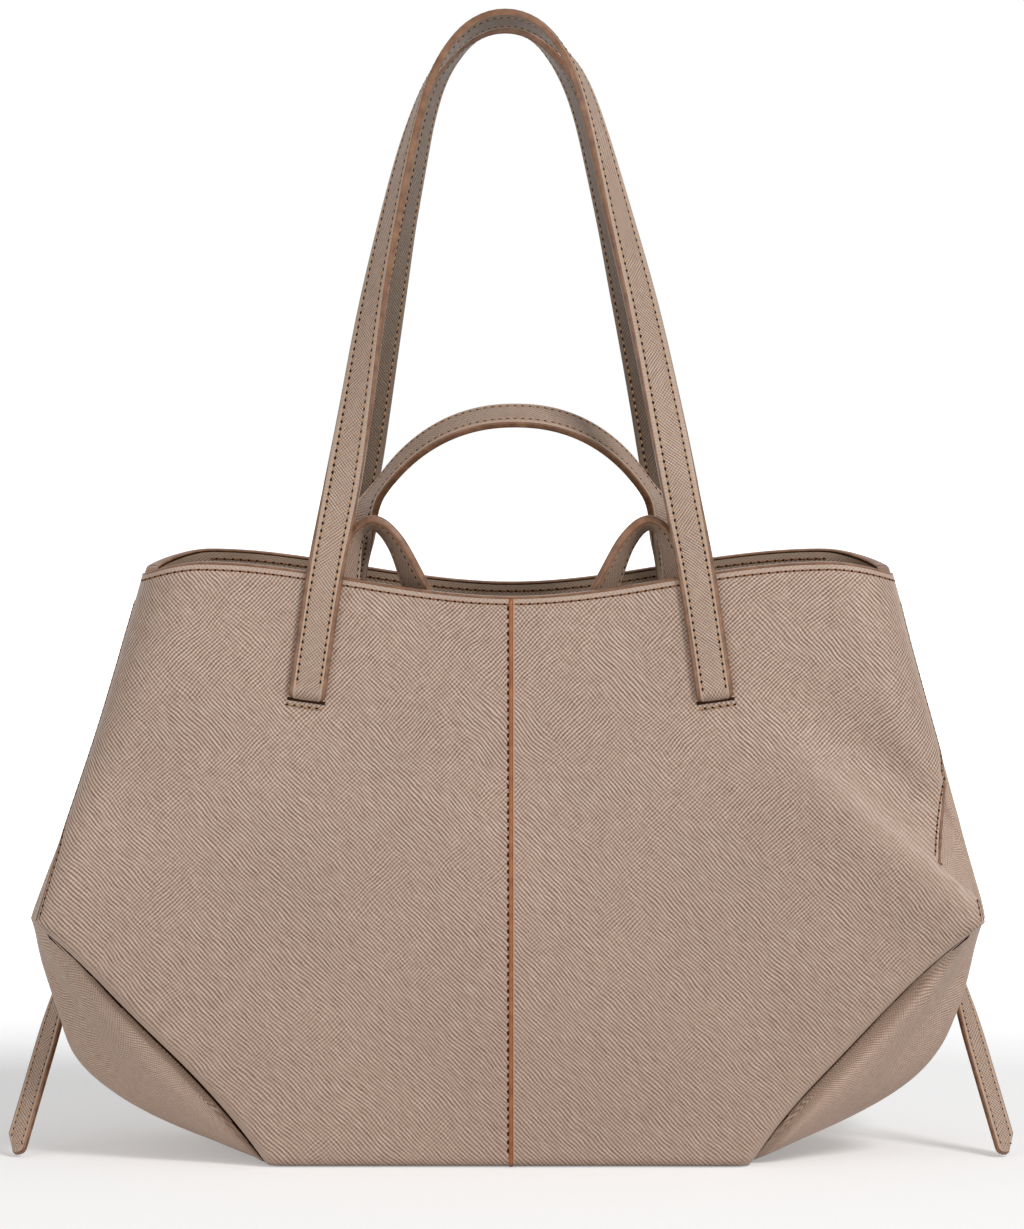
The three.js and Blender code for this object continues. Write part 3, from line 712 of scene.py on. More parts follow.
# The leather map of a gusset takes its true lengths along its rows and columns.
def gussetPlace(side):
    half = gusset["farColumns"] + gusset["edgeColumns"] + gusset["middleColumns"]
    columns = [gussetColumn(step) for step in range(-half, half + 1)]
    rows = [2 * j / gusset["rows"] for j in range(gusset["rows"] + 1)]
    spots = [[gussetSpot(c, level, side) for c in columns] for level in rows]
    across = [runningLengths(row) for row in spots]
    up = [runningLengths(column) for column in zip(*spots)]

    def place(s, t):
        i, j = round(s * 2 * half), round(t * gusset["rows"])
        c, spot = columns[i], spots[j][i].copy()
        wave = noise.noise(Vector((c * 7, t * 9, 3 * side))) * 1.2 * (1 - ease(abs(c), 0.8, 1))
        spot.x += side * wave
        apart = lobeSwell(c, spot.z, side)[1]
        # painted shade: the lobe darkens towards the bottom of the groove beside the crease
        dark = (1 - ease(apart, *gusset["shade"])) * ease(shape["wingHeight"] - spot.z, 1, 5)
        pressedAndShade = rimPressed(t) - 2 * dark
        return spot, (across[j][i] - across[j][half], up[i][j]), pressedAndShade
    return place, 2 * half


for name, node, side in (("leftGusset", "left_gusset", -1), ("rightGusset", "right_gusset", 1)):
    place, columns = gussetPlace(side)
    bm = movedGrid(columns, gusset["rows"], place, flip=side < 0)
    pressedAndShade = bm.verts.layers.float["pressedAndShade"]
    for face in bm.faces:
        if max(vert[pressedAndShade] for vert in face.verts) < gusset["blackShadeLevel"]:
            face.material_index = 3    # painted shade: the bottom of the groove is black
    piece = addPiece(name, bm, (gussetLeather, fleshSide, brownEdge, holeDark),
                     nodes=(node,))
    thicken(piece, gusset["thickness"])
print("gussets done")


# Inner layers: the leather band inside the rim, the suede lining under it, the tape behind each centre seam
inner = dict(facingLevel=2 - 45 / 155, facingDepth=5.2, facingThickness=1.2, liningStart=9 / 118,
             liningDepth=4.8, liningThickness=0.8, columns=80, mapWidth=150, wallHeight=160, tapeHalf=10,
             tapeBottom=12, tapeTop=248, tapeDepth=3.7, tapeThickness=1.4)


def surfaceNormal(spotAt, a, b):
    step = 0.004
    along = spotAt(a + step, b) - spotAt(a - step, b)
    up = spotAt(a, min(b + step, 2)) - spotAt(a, max(b - step, 0))
    return along.cross(up).normalized()


def wallSpot(name):
    def spotAt(across, level):
        share = abs(across)
        z = levelHeight(level, panelRim(share))
        spot = panelSpot(min(share, 0.999), z, 1 if across >= 0 else -1, name != "front")
        return spot if name == "front" else mirrored(spot)
    return spotAt


def flankSpot(side):
    return lambda c, level: gussetSpot(c, level, side)


def addInner(name, wall, low, high, depth, thickness, rows, material, node):
    spotAt, reach, outward = wall

    def place(s, t):
        a = lerp(-reach, reach, s)
        level = lerp(low, high, t)
        normal = surfaceNormal(spotAt, a, level) * outward
        spot = spotAt(a, level) - normal * depth
        return spot, (a * inner["mapWidth"], spot.z), 0.85 * ease(t, 0.94, 0.97)
    bm = movedGrid(inner["columns"], rows, place, flip=outward > 0)
    piece = addPiece(name, bm, (material, fleshSide, brownEdge), nodes=(node,))
    thicken(piece, thickness, 0.2)


walls = dict(front=(wallSpot("front"), 0.99, 1), back=(wallSpot("back"), 0.99, -1),
             left=(flankSpot(-1), 0.97, -1), right=(flankSpot(1), 0.97, 1))
for name, wall in walls.items():
    addInner(name + "Facing", wall, inner["facingLevel"], 2, inner["facingDepth"],
             inner["facingThickness"], 24, facingLeather, name + "_facing")
    addInner(name + "Lining", wall, inner["liningStart"], inner["facingLevel"] - 0.004, inner["liningDepth"],
             inner["liningThickness"], 60, suedeCloth, name + "_lining")

for name, plain in (("front", False), ("back", True)):
    def tapePlace(s, t, plain=plain):
        z = lerp(inner["tapeBottom"], inner["tapeTop"], t)
        across = lerp(-1, 1, s) * inner["tapeHalf"]
        spot = panelSpot(flatShare * abs(across) / flatWidth(z), z, 1 if across >= 0 else -1, plain)
        spot += Vector((0, inner["tapeDepth"], 0))
        return mirrored(spot, plain), (across, z), 0.0
    bm = movedGrid(8, 60, tapePlace, flip=not plain)
    piece = addPiece(name + "SeamTape", bm, (wovenTape,), nodes=(name + "_seam_tape",))
    solid = piece.modifiers.new("thickness", "SOLIDIFY")
    solid.thickness = inner["tapeThickness"] * mm
print("inner layers done")


# Painted top edge over the panel, stay and facing
rimEdge = dict(outline=[(-0.28, -0.5), (-0.28, 0.15), (0.1, 0.5), (1.1, 0.68), (2.6, 0.72), (4.1, 0.68),
                        (5.1, 0.5), (5.48, 0.15), (5.48, -0.5)], steps=140)
for name, (spotAt, reach, outward) in walls.items():
    def rimFrame(share, spotAt=spotAt, reach=reach, outward=outward):
        a = lerp(-reach, reach, share)
        normal = surfaceNormal(spotAt, a, 2) * outward
        level = Vector((normal.x, normal.y, 0)).normalized()
        return spotAt(a, 2), -level, Vector((0, 0, 1))
    bm = sweptStrip(rimFrame, spaced(0, 1, rimEdge["steps"]), rimEdge["outline"])
    addPiece(name + "RimEdge", bm, (brownEdge,))


# Painted side edges of the panels, seen as a brown line beside the stitches of the side seams
sideEdge = dict(outline=[(-0.8, 0.12), (-0.4, 0.3), (0.2, 0.3), (0.6, 0.0), (0.65, -0.7), (0.5, -1.6),
                         (0.0, -2.1), (-0.8, -2.1)],
                steps=120, low=119.5, top=270, hiddenFrom=129, hiddenTo=147)
for name, node, side, plain in panels:
    covered = side > 0 and not plain    # the fold on the right of the front covers a stretch of its edge
    spans = ((sideEdge["low"], sideEdge["hiddenFrom"]), (sideEdge["hiddenTo"], sideEdge["top"]))
    for i, (low, high) in enumerate(spans if covered else ((sideEdge["low"], sideEdge["top"]),)):
        def edgeFrame(share, side=side, plain=plain, low=low, high=high):
            z = lerp(low, high, share)
            end = panelEnd(z, side, plain)
            inward = inwardAt(end, side)
            across = Vector((side * inward.y, -side * inward.x, 0))
            parts = (panelSpot(end, z, side, plain), across, -inward)
            return tuple(mirrored(part, plain) for part in parts)
        bm = sweptStrip(edgeFrame, spaced(0, 1, sideEdge["steps"]), sideEdge["outline"])
        addPiece("%sSideEdge%d" % (name, i + 1), bm, (brownEdge,))


# Centre seam: a narrow rust-painted edge standing a little proud, and the pale folded lip on its right
seam = dict(outline=[(-1.05, -1.2), (-1.05, 0.1), (-0.7, 0.55), (0.0, 0.7), (0.7, 0.55), (1.0, 0.1),
                     (1.0, -1.2)],
            lip=[(1.0, -1.2), (1.02, 0.3), (1.25, 0.5), (1.55, 0.38), (1.8, -0.1), (1.8, -1.2)],
            steps=110, bottom=0.4, topGap=0.6)
for name, plain in (("front", False), ("back", True)):
    def seamFrame(share, plain=plain):
        z = lerp(seam["bottom"], shape["rimHeight"] - seam["topGap"], share)
        spot = (panelSpot(0, z, 1, plain) + panelSpot(0, z, -1, plain)) / 2
        rise = panelSpot(0, z + 0.5, 1, plain) - panelSpot(0, max(z - 0.5, 0), 1, plain)
        parts = (spot, Vector((1, 0, 0)), Vector((1, 0, 0)).cross(rise).normalized())
        return tuple(mirrored(part, plain) for part in parts)
    places = spaced(0, 1, seam["steps"])
    for part, outline, material in (("Edge", "outline", rustEdge), ("Lip", "lip", strapLeather)):
        bm = sweptStrip(seamFrame, places, seam[outline])
        addPiece(name + "Centre" + part, bm, (material,))


# Joins in the back facing, a little right of its middle and under the right strap
facingJoin = dict(places=(14, 72), steps=12, topGap=6,
                  outline=[(-0.35, -0.1), (-0.35, 0.1), (0, 0.18), (0.35, 0.1), (0.35, -0.1)])
for i, x in enumerate(facingJoin["places"]):
    def joinFrame(share, x=x):
        spotAt, _, outward = walls["back"]
        a = flatShare * x / flatWidth(shape["rimHeight"])
        level = lerp(inner["facingLevel"] + 0.01, 2 - facingJoin["topGap"] / inner["wallHeight"], share)
        normal = surfaceNormal(spotAt, a, level) * outward
        return spotAt(a, level) - normal * inner["facingDepth"], Vector((1, 0, 0)), -normal
    bm = sweptStrip(joinFrame, spaced(0, 1, facingJoin["steps"]), facingJoin["outline"])
    addPiece("backFacingJoin%d" % (i + 1), bm, (holeDark,))
print("edges done")


# Long straps: their ends bend in through slits in the panels, and they turn on edge towards their crowns
strap = dict(width=18, thickness=3.6, painted=2.1, upperBand=0.35, bandStart=40, bandEnd=130, sewn=3.4,
             slitHeight=222, fullness=0.92, offset=2.1, footLift=7.0, turnIn=3.0, reachIn=3.0,
             cornerRound=1.8, steps=190, bendSteps=14, pitch=3.6, thread=(2.2, 0.85, 0.34),
             hole=(1.9, 1.3, 0.32), smoothSpan=14, swayStart=330, swayEnd=500, sideSpan=20)
# Stops of height with the turn in degrees and millimetres outwards, on the left and on the right
backTwist = ((313, 0), (356, 27), (423, 50), (490, 66), (530, 68), (546, 90))
backFuller = ((285, 0), (328, -2.2), (368, -2.6), (423, -2.5), (452, -1.1), (471, -0.6))
frontTwist = (((313, 0), (356, 27), (423, 51.5), (460, 61), (490, 69), (530, 87), (551, 108)),
              ((313, 0), (356, 16), (423, 36), (460, 48), (490, 59), (530, 74), (551, 108)))
frontFuller = (((285, 0), (328, -1.7), (366, -1.8), (414, -0.6), (447, -0.25), (462, 0.05), (490, 1.65),
                (510, 3.2), (529, 4.7), (540, 3.6), (551, 0)),
               ((285, 0), (328, -1.7), (366, -2.25), (390, -2), (414, -1.75), (447, -1.65), (462, -1.35),
                (490, 0.4), (510, 2.2), (529, 4.3), (540, 4.5), (551, 0)))
strapSides = dict(front=dict(spread=98.5, crownHeight=550.5, sway=-2.6, twist=frontTwist, fuller=frontFuller),
                  back=dict(spread=90, crownHeight=545.5, sway=2.6, twist=(backTwist, backTwist),
                            fuller=(backFuller + ((490, 0.9), (510, 2.9), (529, 3.8), (537, 2.2), (546, 0)),
                                    backFuller + ((490, 1.3), (510, 4.2), (529, 6), (537, 4.4), (546, 0)))))
strapTuck = strap["turnIn"] * math.pi / 2 + strap["reachIn"]


def slitToWorld(spot):
    y = spot.y * math.cos(leanAngle) + spot.z * math.sin(leanAngle)
    z = spot.z * math.cos(leanAngle) - spot.y * math.sin(leanAngle)
    return Vector((spot.x, y, z))


def turnedFrame(tangent, turn):
    outward = tangent.cross(Vector((0, 1, 0))).normalized()
    inward = outward.cross(tangent).normalized()
    across = outward * math.cos(turn) + inward * math.sin(turn)
    return across, outward * math.sin(turn) - inward * math.cos(turn)


def archCurve(spread, height, rise, fullness, offset=0.0):
    def curve(share):
        c = math.cos(math.pi * share)
        x = -spread * math.copysign(abs(c) ** fullness, c)
        return Vector((x, offset, height * max(math.sin(math.pi * share), 0) ** rise))
    return curve


# Gives the frames along one strap, with its ends tucked in, and its whole length
def strapPath(spread, crownHeight, sway, twist, fuller):
    rise = (crownHeight - strap["slitHeight"]) / math.cos(leanAngle)
    arch = archCurve(spread, rise, 2, strap["fullness"], -strap["offset"])

    def curve(share):
        spot = arch(share)
        z = strap["slitHeight"] + spot.z * math.cos(leanAngle)
        out = smoothBetween(fuller[0 if spot.x < 0 else 1], z, strap["smoothSpan"])
        return spot + Vector((out * clamp(spot.x / 15, -1, 1), 0, 0))
    rail, length = railOf(curve)
    free = length - 2 * strap["footLift"]

    def frameAt(run):
        inside = max(strapTuck - run, run - strapTuck - free, 0)
        along = strap["footLift"] + clamp(run - strapTuck, 0, free)
        middle, tangent = rail(along)
        z = strap["slitHeight"] + middle.z * math.cos(leanAngle)
        left, right = (smoothBetween(stops, z, strap["smoothSpan"]) for stops in twist)
        turn = lerp(left, right, ease(middle.x, -strap["sideSpan"], strap["sideSpan"]))
        across, face = turnedFrame(tangent, math.radians(turn))
        middle = middle + Vector((sway * ease(z, strap["swayStart"], strap["swayEnd"]), 0, 0))
        if inside > 0:
            out = -tangent if along < length / 2 else tangent
            bend = min(inside / strap["turnIn"], math.pi / 2)
            extra = max(inside - strap["turnIn"] * math.pi / 2, 0)
            middle = middle + out * strap["turnIn"] * math.sin(bend)
            middle -= face * (strap["turnIn"] * (1 - math.cos(bend)) + extra)
            face = face * math.cos(bend) + out * math.sin(bend)
        origin = Vector((0, -halfDepth(strap["slitHeight"]), strap["slitHeight"]))
        return origin + slitToWorld(middle), slitToWorld(across), slitToWorld(face)
    return frameAt, free + 2 * strapTuck


def turnedFrames(frameAt):
    def at(length):
        return tuple(turnedRound(part) for part in frameAt(length))
    return at


# The lower corners of a strap are rounded where it bends into its slit, and its paint is narrower higher up.
def strapWidth(whole):
    def at(run, w):
        bend = clamp((strapTuck - min(run, whole - run)) / strap["turnIn"], 0, math.pi / 2)
        height = (strap["turnIn"] + strap["thickness"] / 2) * (1 - math.sin(bend))
        left = clamp(1 - height / strap["cornerRound"])
        half = strap["width"] / 2
        if abs(w) > half - strap["painted"] - 0.01:
            upper = ease(min(run, whole - run), strap["bandStart"], strap["bandEnd"])
            band = lerp(1, strap["upperBand"], upper)
            w = math.copysign(half - (half - abs(w)) * band, w)
        return w * (1 - strap["cornerRound"] * (1 - math.sqrt(1 - left * left)) / strap["width"] * 2)
    return at


def stripRows(frameAt, low, high, pitch, offsets, lift):
    count = round((high - low) / pitch)
    rows = []
    for across, side in offsets:
        row = []
        for i in range(count):
            here = low + (i + 0.5) * (high - low) / count
            middle, wide, face = frameAt(here)
            ahead = frameAt(min(here + 0.5, high))[0] - frameAt(max(here - 0.5, low))[0]
            along = ahead.normalized()
            normal = (face * side - along * along.dot(face * side)).normalized()
            row.append((middle + wide * across + face * side * lift, along, normal))
        rows.append(row)
    return rows


# The four stitch rows of a strip: near both edges, on both faces
def fourRows(style):
    w = style["width"] / 2 - style["sewn"]
    return ((w, 1), (-w, 1), (w, -1), (-w, -1))


def stitchLift(style):
    return style["thickness"] / 2 - 0.1


def stripSection(style):
    outline = stripOutline(style["width"], style["thickness"], style["painted"], style["sewn"])
    return outline, style["width"] / 2 - style["painted"]


# the under faces of straps, tails and tabs take the darker backing, which also paints their shade
stripFinish = (strapLeather, brownEdge, shadedBackingLeather)
strapBlend = dict(start=(0, 0, 0.224), end=(0, 0, 0.246))
strapPaths = {}
for name, sizes in strapSides.items():
    frameAt, whole = strapPath(**sizes)
    frameAt = turnedFrames(frameAt) if name == "back" else frameAt
    strapPaths[name] = (frameAt, whole)
    outline, painted = stripSection(strap)
    bend = strapTuck + 2
    places = spaced(0, bend, strap["bendSteps"])[:-1] + spaced(bend, whole - bend, strap["steps"])
    places += spaced(whole - bend, whole, strap["bendSteps"])[1:]
    bm = sweptStrip(frameAt, places, outline, painted, strapWidth(whole))
    piece = addPiece(name + "Strap", bm, stripFinish, body=None,
                     nodes=(name + "_strap", name + "_strap_backing"))
    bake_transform(piece, "bag", name + "_strap", **strapBlend)
    rows = stripRows(frameAt, strapTuck + 1.0, whole - strapTuck - 1.0, strap["pitch"], fourRows(strap),
                     stitchLift(strap))
    piece = addStitches(name + "StrapStitches", rows, strap, threadTan, None)
    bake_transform(piece, "bag", name + "_strap", **strapBlend)
print("straps done")


# Strap ends: slits drawn as dark strips of painted shade, with a short row of stitches below, and the sewn
# tails inside
slit = dict(length=18.4, outline=[(-0.75, 0), (-0.5, 0.2), (0, 0.28), (0.5, 0.2), (0.75, 0), (0, -0.3)],
            rowDrop=2.9, pitch=3.6, count=5, thread=(2.3, 0.9, 0.38), hole=(1.4, 1.0, 0.3), tailLength=26,
            tailThickness=1.3, tailPainted=0.8, tailSteps=12, tailDrop=10.0, tailDepth=5.5)
for name, words in (("front", ("left", "right")), ("back", ("right", "left"))):
    frameAt, whole = strapPaths[name]
    rows = []
    for word, foot, ahead in ((words[0], strapTuck, 2), (words[1], whole - strapTuck, -2)):
        middle, across, face = frameAt(foot)
        up = (frameAt(foot + ahead)[0] - middle).normalized()
        low = middle - face * strap["offset"] - up * (strap["turnIn"] + strap["thickness"] / 2 + 0.2)

        def slitFrame(w, low=low, across=across, face=face, up=up):
            return low + across * w, up, face
        reach = slit["length"] / 2
        bm = sweptStrip(slitFrame, spaced(-reach, reach, 4), slit["outline"])
        addPiece(name + word.title() + "Slit", bm, (holeDark,))
        middleStitch = (slit["count"] - 1) / 2
        rows.append([(low - up * slit["rowDrop"] + across * (i - middleStitch) * slit["pitch"] + face * 0.15,
                      across, face) for i in range(slit["count"])])
        top = middle - face * slit["tailDepth"] - up * slit["tailDrop"]

        def tailFrame(length, top=top, across=across, face=face, up=up):
            return top - up * length, across, face
        outline = stripOutline(strap["width"], slit["tailThickness"], slit["tailPainted"], strap["sewn"])
        places = spaced(0, slit["tailLength"], slit["tailSteps"])
        bm = sweptStrip(tailFrame, places, outline, strap["width"] / 2 - slit["tailPainted"])
        addPiece(name + word.title() + "StrapTail", bm, stripFinish,
                 nodes=("%s_strap_%s_tail" % (name, word),))
    addStitches(name + "SlitStitches", rows, slit, threadTan)
print("strap ends done")


# Short handle at the back: it stands on its sewn tails and leans forward
handle = dict(width=18, thickness=4, painted=1.2, sewn=3.0, spread=81, axisDrop=5, height=104, rise=1.05,
              fullness=0.92, sway=-2.0, lean=28.5, tailLength=32, flatLength=20, turnLength=48, offset=7.5,
              steps=120, pitch=3.6, thread=(2.2, 0.8, 0.32), hole=(1.5, 0.95, 0.28))
backArch = archCurve(handle["spread"], handle["height"], handle["rise"], handle["fullness"])
backRail, backLength = railOf(backArch)
backWhole = backLength + 2 * handle["tailLength"]


def backHandleFrame(length):
    tail = handle["tailLength"]
    along = clamp(length - tail, 0, backLength)
    inside = max(tail - length, length - tail - backLength, 0)
    middle, tangent = backRail(along)
    fromFoot = min(along, backLength - along)
    foot = Vector((0, 0, 1 if along < backLength / 2 else -1))
    tangent = tangent.lerp(foot, 1 - ease(fromFoot, 0, handle["flatLength"])).normalized()
    turn = -math.pi / 2 * ease(fromFoot, handle["flatLength"], handle["flatLength"] + handle["turnLength"])
    across, face = turnedFrame(tangent, turn)
    lean = lerp(leanAngle, math.radians(handle["lean"]), ease(fromFoot - inside, -6, 6))
    spin = Matrix.Rotation(-lean, 3, "X")
    z = shape["rimHeight"] - handle["axisDrop"]
    axis = Vector((0, -halfDepth(z), z)) + slitToWorld(Vector((0, handle["offset"], 0)))
    middle = middle + Vector((handle["sway"] * middle.z / handle["height"], 0, -inside))
    return tuple(turnedRound(part) for part in (axis + spin @ middle, spin @ across, spin @ face))


handleFinish = (strapLeather, brownEdge, strapLeather)    # both faces of the handles show the grain
outline, painted = stripSection(handle)
bm = sweptStrip(backHandleFrame, spaced(0, backWhole, handle["steps"]), outline, painted)
piece = addPiece("backHandle", bm, handleFinish, body=None,
                 nodes=("back_handle", "back_handle_left_tail", "back_handle_right_tail"))
backBlend = dict(start=(0, 0, 0.262), end=(0, 0, 0.276))
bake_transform(piece, "bag", "back_handle", **backBlend)
rows = stripRows(backHandleFrame, 2, backWhole - 2, handle["pitch"], fourRows(handle), stitchLift(handle))
piece = addStitches("backHandleStitches", rows, handle, threadTan, None)
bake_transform(piece, "bag", "back_handle", **backBlend)


# Short handle at the front: its legs stand inside the rim and its middle is buckled down into the bag.
# Its turn is given by share of its half length: flat on the facing, on edge in its loops, tilted on its arms.
buckle = dict(legX=81, legDepth=50, loopX=67, loopHeight=38, shoulder=(76.1, 28.5),
              armShoulder=(55.75, 28.5), armX=42, crownSide=(25.2, -20.25), crownDrop=27, crownInset=26,
              seat=5.5, loopShare=0.47, steps=110,
              turns=((0, 0), (0.12, 0), (0.47, 85), (0.72, 50), (1, 58)), blendFrom=0.072, blendTo=0.018)


def throughPoints(points):
    ends = [points[0] * 2 - points[1]] + points + [points[-1] * 2 - points[-2]]

    def curve(share):
        place = share * (len(points) - 1)
        i = min(int(place), len(points) - 2)
        f = place - i
        a, b, c, d = ends[i:i + 4]
        return 0.5 * (2 * b + (c - a) * f + (2 * a - 5 * b + 4 * c - d) * f * f
                      + (3 * b - a - 3 * c + d) * f ** 3)
    return curve


flank = [(buckle["legX"], -buckle["legDepth"]), (buckle["legX"], -buckle["legDepth"] / 2),
         (buckle["legX"], 0), buckle["shoulder"], (buckle["loopX"], buckle["loopHeight"]),
         buckle["armShoulder"], (buckle["armX"], 0), buckle["crownSide"]]
bucklePoints = [Vector((-x, 0, z)) for x, z in flank] + [Vector((0, 0, -buckle["crownDrop"]))]
bucklePoints += [Vector((x, 0, z)) for x, z in flank[::-1]]
buckleRail, buckleLength = railOf(throughPoints(bucklePoints), 900)


def buckleFrame(length):
    middle, tangent = buckleRail(length)
    half = 1 - abs(2 * length / buckleLength - 1)
    turn = math.radians(between(buckle["turns"], half))
    away = clamp((half - buckle["loopShare"]) / (1 - buckle["loopShare"]))
    seat = math.radians(between(buckle["turns"], min(half, buckle["loopShare"])))
    reach = (handle["width"] * math.sin(seat) + handle["thickness"] * math.cos(seat)) / 2
    inset = lerp(buckle["seat"] + reach, buckle["crownInset"], away)
    across, face = turnedFrame(tangent, -turn)
    origin = Vector((0, -shape["rimHalfDepth"], shape["rimHeight"]))
    return origin + slitToWorld(middle + Vector((0, inset, 0))), slitToWorld(across), slitToWorld(face)


def rightBuckle(length):
    return buckleFrame(length + buckleLength / 2)


for name, frameAt, sign in (("Left", buckleFrame, -1), ("Right", rightBuckle, 1)):
    nodes = ["front_handle_%s_%s" % (name.lower(), part) for part in ("leg", "arm")]
    if sign < 0:
        nodes.append("front_handle_crown")
    span = dict(start=(sign * buckle["blendFrom"], 0, 0), end=(sign * buckle["blendTo"], 0, 0))
    bm = sweptStrip(frameAt, spaced(0, buckleLength / 2, buckle["steps"]), outline, painted)
    piece = addPiece("frontHandle" + name, bm, handleFinish, body=None, nodes=nodes)
    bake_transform(piece, "bag", "front_handle", **span)
    rows = stripRows(frameAt, 2, buckleLength / 2 - 0.1, handle["pitch"], fourRows(handle),
                     stitchLift(handle))
    piece = addStitches("frontHandleStitches" + name, rows, handle, threadTan, None)
    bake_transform(piece, "bag", "front_handle", **span)
print("handles done")


# Side tabs: they hang from the fold of the gussets, and their free ends turn and bend to the front
tab = dict(width=12, thickness=3, painted=0.9, sewn=2.5, length=134.5, reach=36, tilt=16, turn=52,
           turnStart=0.12, turnEnd=0.6, steps=70, cutSteps=16, pitch=3.4, axis=(204.056, 0, 130.729),
           cutLength=10.0, cutWidth=6.0, cornerRound=3.5, thread=(2.1, 0.7, 0.3), hole=(1.3, 0.8, 0.26),
           endRow=4.6, endPlaces=(-0.6, 2.6))


def tabPath(front):
    rail, whole = railOf(lambda t: Vector((0, front * tab["reach"] * t * t, -tab["length"] * t)), 200)

    def frameAt(length):
        middle, tangent = rail(length)
        turn = front * math.radians(tab["turn"]) * ease(length / whole, tab["turnStart"], tab["turnEnd"])
        spin = Matrix.Rotation(-math.radians(tab["tilt"]), 3, "Y")
        level = Vector((-math.sin(turn), math.cos(turn), 0))
        across = (level - tangent * tangent.dot(level)).normalized()
        return Vector(tab["axis"]) + spin @ middle, spin @ across, spin @ tangent.cross(across)
    return frameAt, whole


# The outer corner of the free end is cut on a slant and the inner one is rounded.
def tabWidth(whole, outer):
    def at(length, w):
        left = whole - length
        half = tab["width"] / 2
        if w * outer > 0:
            limit = half - tab["cutWidth"] * clamp(1 - left / tab["cutLength"])
        else:
            curve = math.sqrt(max(1 - clamp(1 - left / tab["cornerRound"]) ** 2, 0))
            limit = half - tab["cornerRound"] * (1 - curve)
        return w * limit / half
    return at


for name, front in (("left", 1), ("right", -1)):
    frameAt, whole = tabPath(front)
    frameAt = turnedFrames(frameAt) if front > 0 else frameAt
    outline, painted = stripSection(tab)
    ending = whole - tab["cutLength"]
    places = spaced(0, ending, tab["steps"]) + spaced(ending, whole, tab["cutSteps"])[1:]
    bm = sweptStrip(frameAt, places, outline, painted, tabWidth(whole, -front))
    addPiece(name + "Tab", bm, stripFinish, body=name + "_tab", nodes=(name + "_tab",))
    lift = stitchLift(tab)
    rows = []
    for w, side in fourRows(tab):
        stop = tab["cutLength"] - 1 if w * -front > 0 else tab["endRow"] + 1
        rows += stripRows(frameAt, 1, whole - stop, tab["pitch"], ((w, side),), lift)
    for side in (1, -1):
        middle, across, face = frameAt(whole - tab["endRow"])
        rows.append([(middle + across * w * front + face * side * lift, across, face * side)
                     for w in tab["endPlaces"]])
    addStitches(name + "TabStitches", rows, tab, threadTan, name + "_tab")
print("tabs done")


# Stitches of the body
rimSewing = dict(drop=3.1, pitch=4.0, thread=(2.7, 1.0, 0.45), hole=(1.6, 1.05, 0.36))
sideSewing = dict(inset=2.1, spans=((119, 268),), coveredSpans=((150, 268), (119, 129)), pitch=3.9,
                  thread=(2.0, 0.7, 0.3), hole=(1.9, 1.05, 0.32))
seamSewing = dict(x=-1.35, bottom=4, topGap=5, lift=0.08, pitch=4.1, thread=None, hole=(2.5, 1.15, 0.34))


def seamRow(spotAt, normalAt, low, high, pitch, lift=0.12):
    at, length = railOf(lambda t: spotAt(lerp(low, high, t)), 260)
    count = round(length / pitch)
    row = []
    for i in range(count):
        spot, along = at((i + 0.5) * length / count)
        normal = normalAt(spot)
        normal = (normal - along * along.dot(normal)).normalized()
        row.append((spot + normal * lift, along, normal))
    return row


def outwardY(spot):
    return Vector((0, -1 if spot.y < 0 else 1, -shape["lean"])).normalized()


rows = []
for plain in (False, True):
    def rimLine(across, plain=plain):
        share = abs(across)
        spot = panelSpot(share, panelRim(share) - rimSewing["drop"], 1 if across >= 0 else -1, plain)
        return mirrored(spot, plain)

    def rimNormal(spot):
        radius = shape["rimCornerRadius"]
        turn = clamp((abs(spot.x) - shape["rimHalfWidth"] + radius) / radius) * math.pi / 2
        y = -math.cos(turn) if spot.y < 0 else math.cos(turn)
        return Vector((math.copysign(math.sin(turn), spot.x), y, 0.15)).normalized()
    rows.append(seamRow(rimLine, rimNormal, -0.98, 0.98, rimSewing["pitch"]))
addStitches("rimStitches", rows, rimSewing, threadRust)

rows = []
for name in ("front", "back"):
    def innerLine(a, spotAt=walls[name][0], outward=walls[name][2]):
        level = 2 - rimSewing["drop"] / inner["wallHeight"]
        return spotAt(a, level) - surfaceNormal(spotAt, a, level) * outward * inner["facingDepth"]

    def innerNormal(spot):
        return Vector((0, 1 if spot.y < 0 else -1, 0.1))
    rows.append(seamRow(innerLine, innerNormal, -0.8, 0.8, rimSewing["pitch"]))
addStitches("facingStitches", rows, rimSewing, threadRust)

rows = []
for name, node, side, plain in panels:
    def sideLine(z, side=side, plain=plain):
        share = shareAt(flatRun(panelEnd(z, side, plain), z) - sideSewing["inset"], z)
        spot = panelSpot(share, z, side, plain)
        return mirrored(spot, plain)

    def sideNormal(spot, side=side, plain=plain):
        normal = -inwardAt(panelEnd(spot.z, side, plain) - 0.06, side) + Vector((0, 0, -0.1))
        return mirrored(normal, plain)
    covered = side > 0 and not plain
    for low, high in sideSewing["coveredSpans" if covered else "spans"]:
        rows.append(seamRow(sideLine, sideNormal, low, high, sideSewing["pitch"]))
addStitches("sideSeamStitches", rows, sideSewing, threadRust)

rows = []
for plain in (False, True):
    def seamLine(z, plain=plain):
        spot = panelSpot(0, z, 1, plain) + Vector((seamSewing["x"], 0, 0))
        return mirrored(spot, plain)
    low, high = seamSewing["bottom"], shape["rimHeight"] - seamSewing["topGap"]
    rows.append(seamRow(seamLine, outwardY, low, high, seamSewing["pitch"], seamSewing["lift"]))
addStitches("centreStitches", rows, seamSewing, threadRust)
print("stitches done")


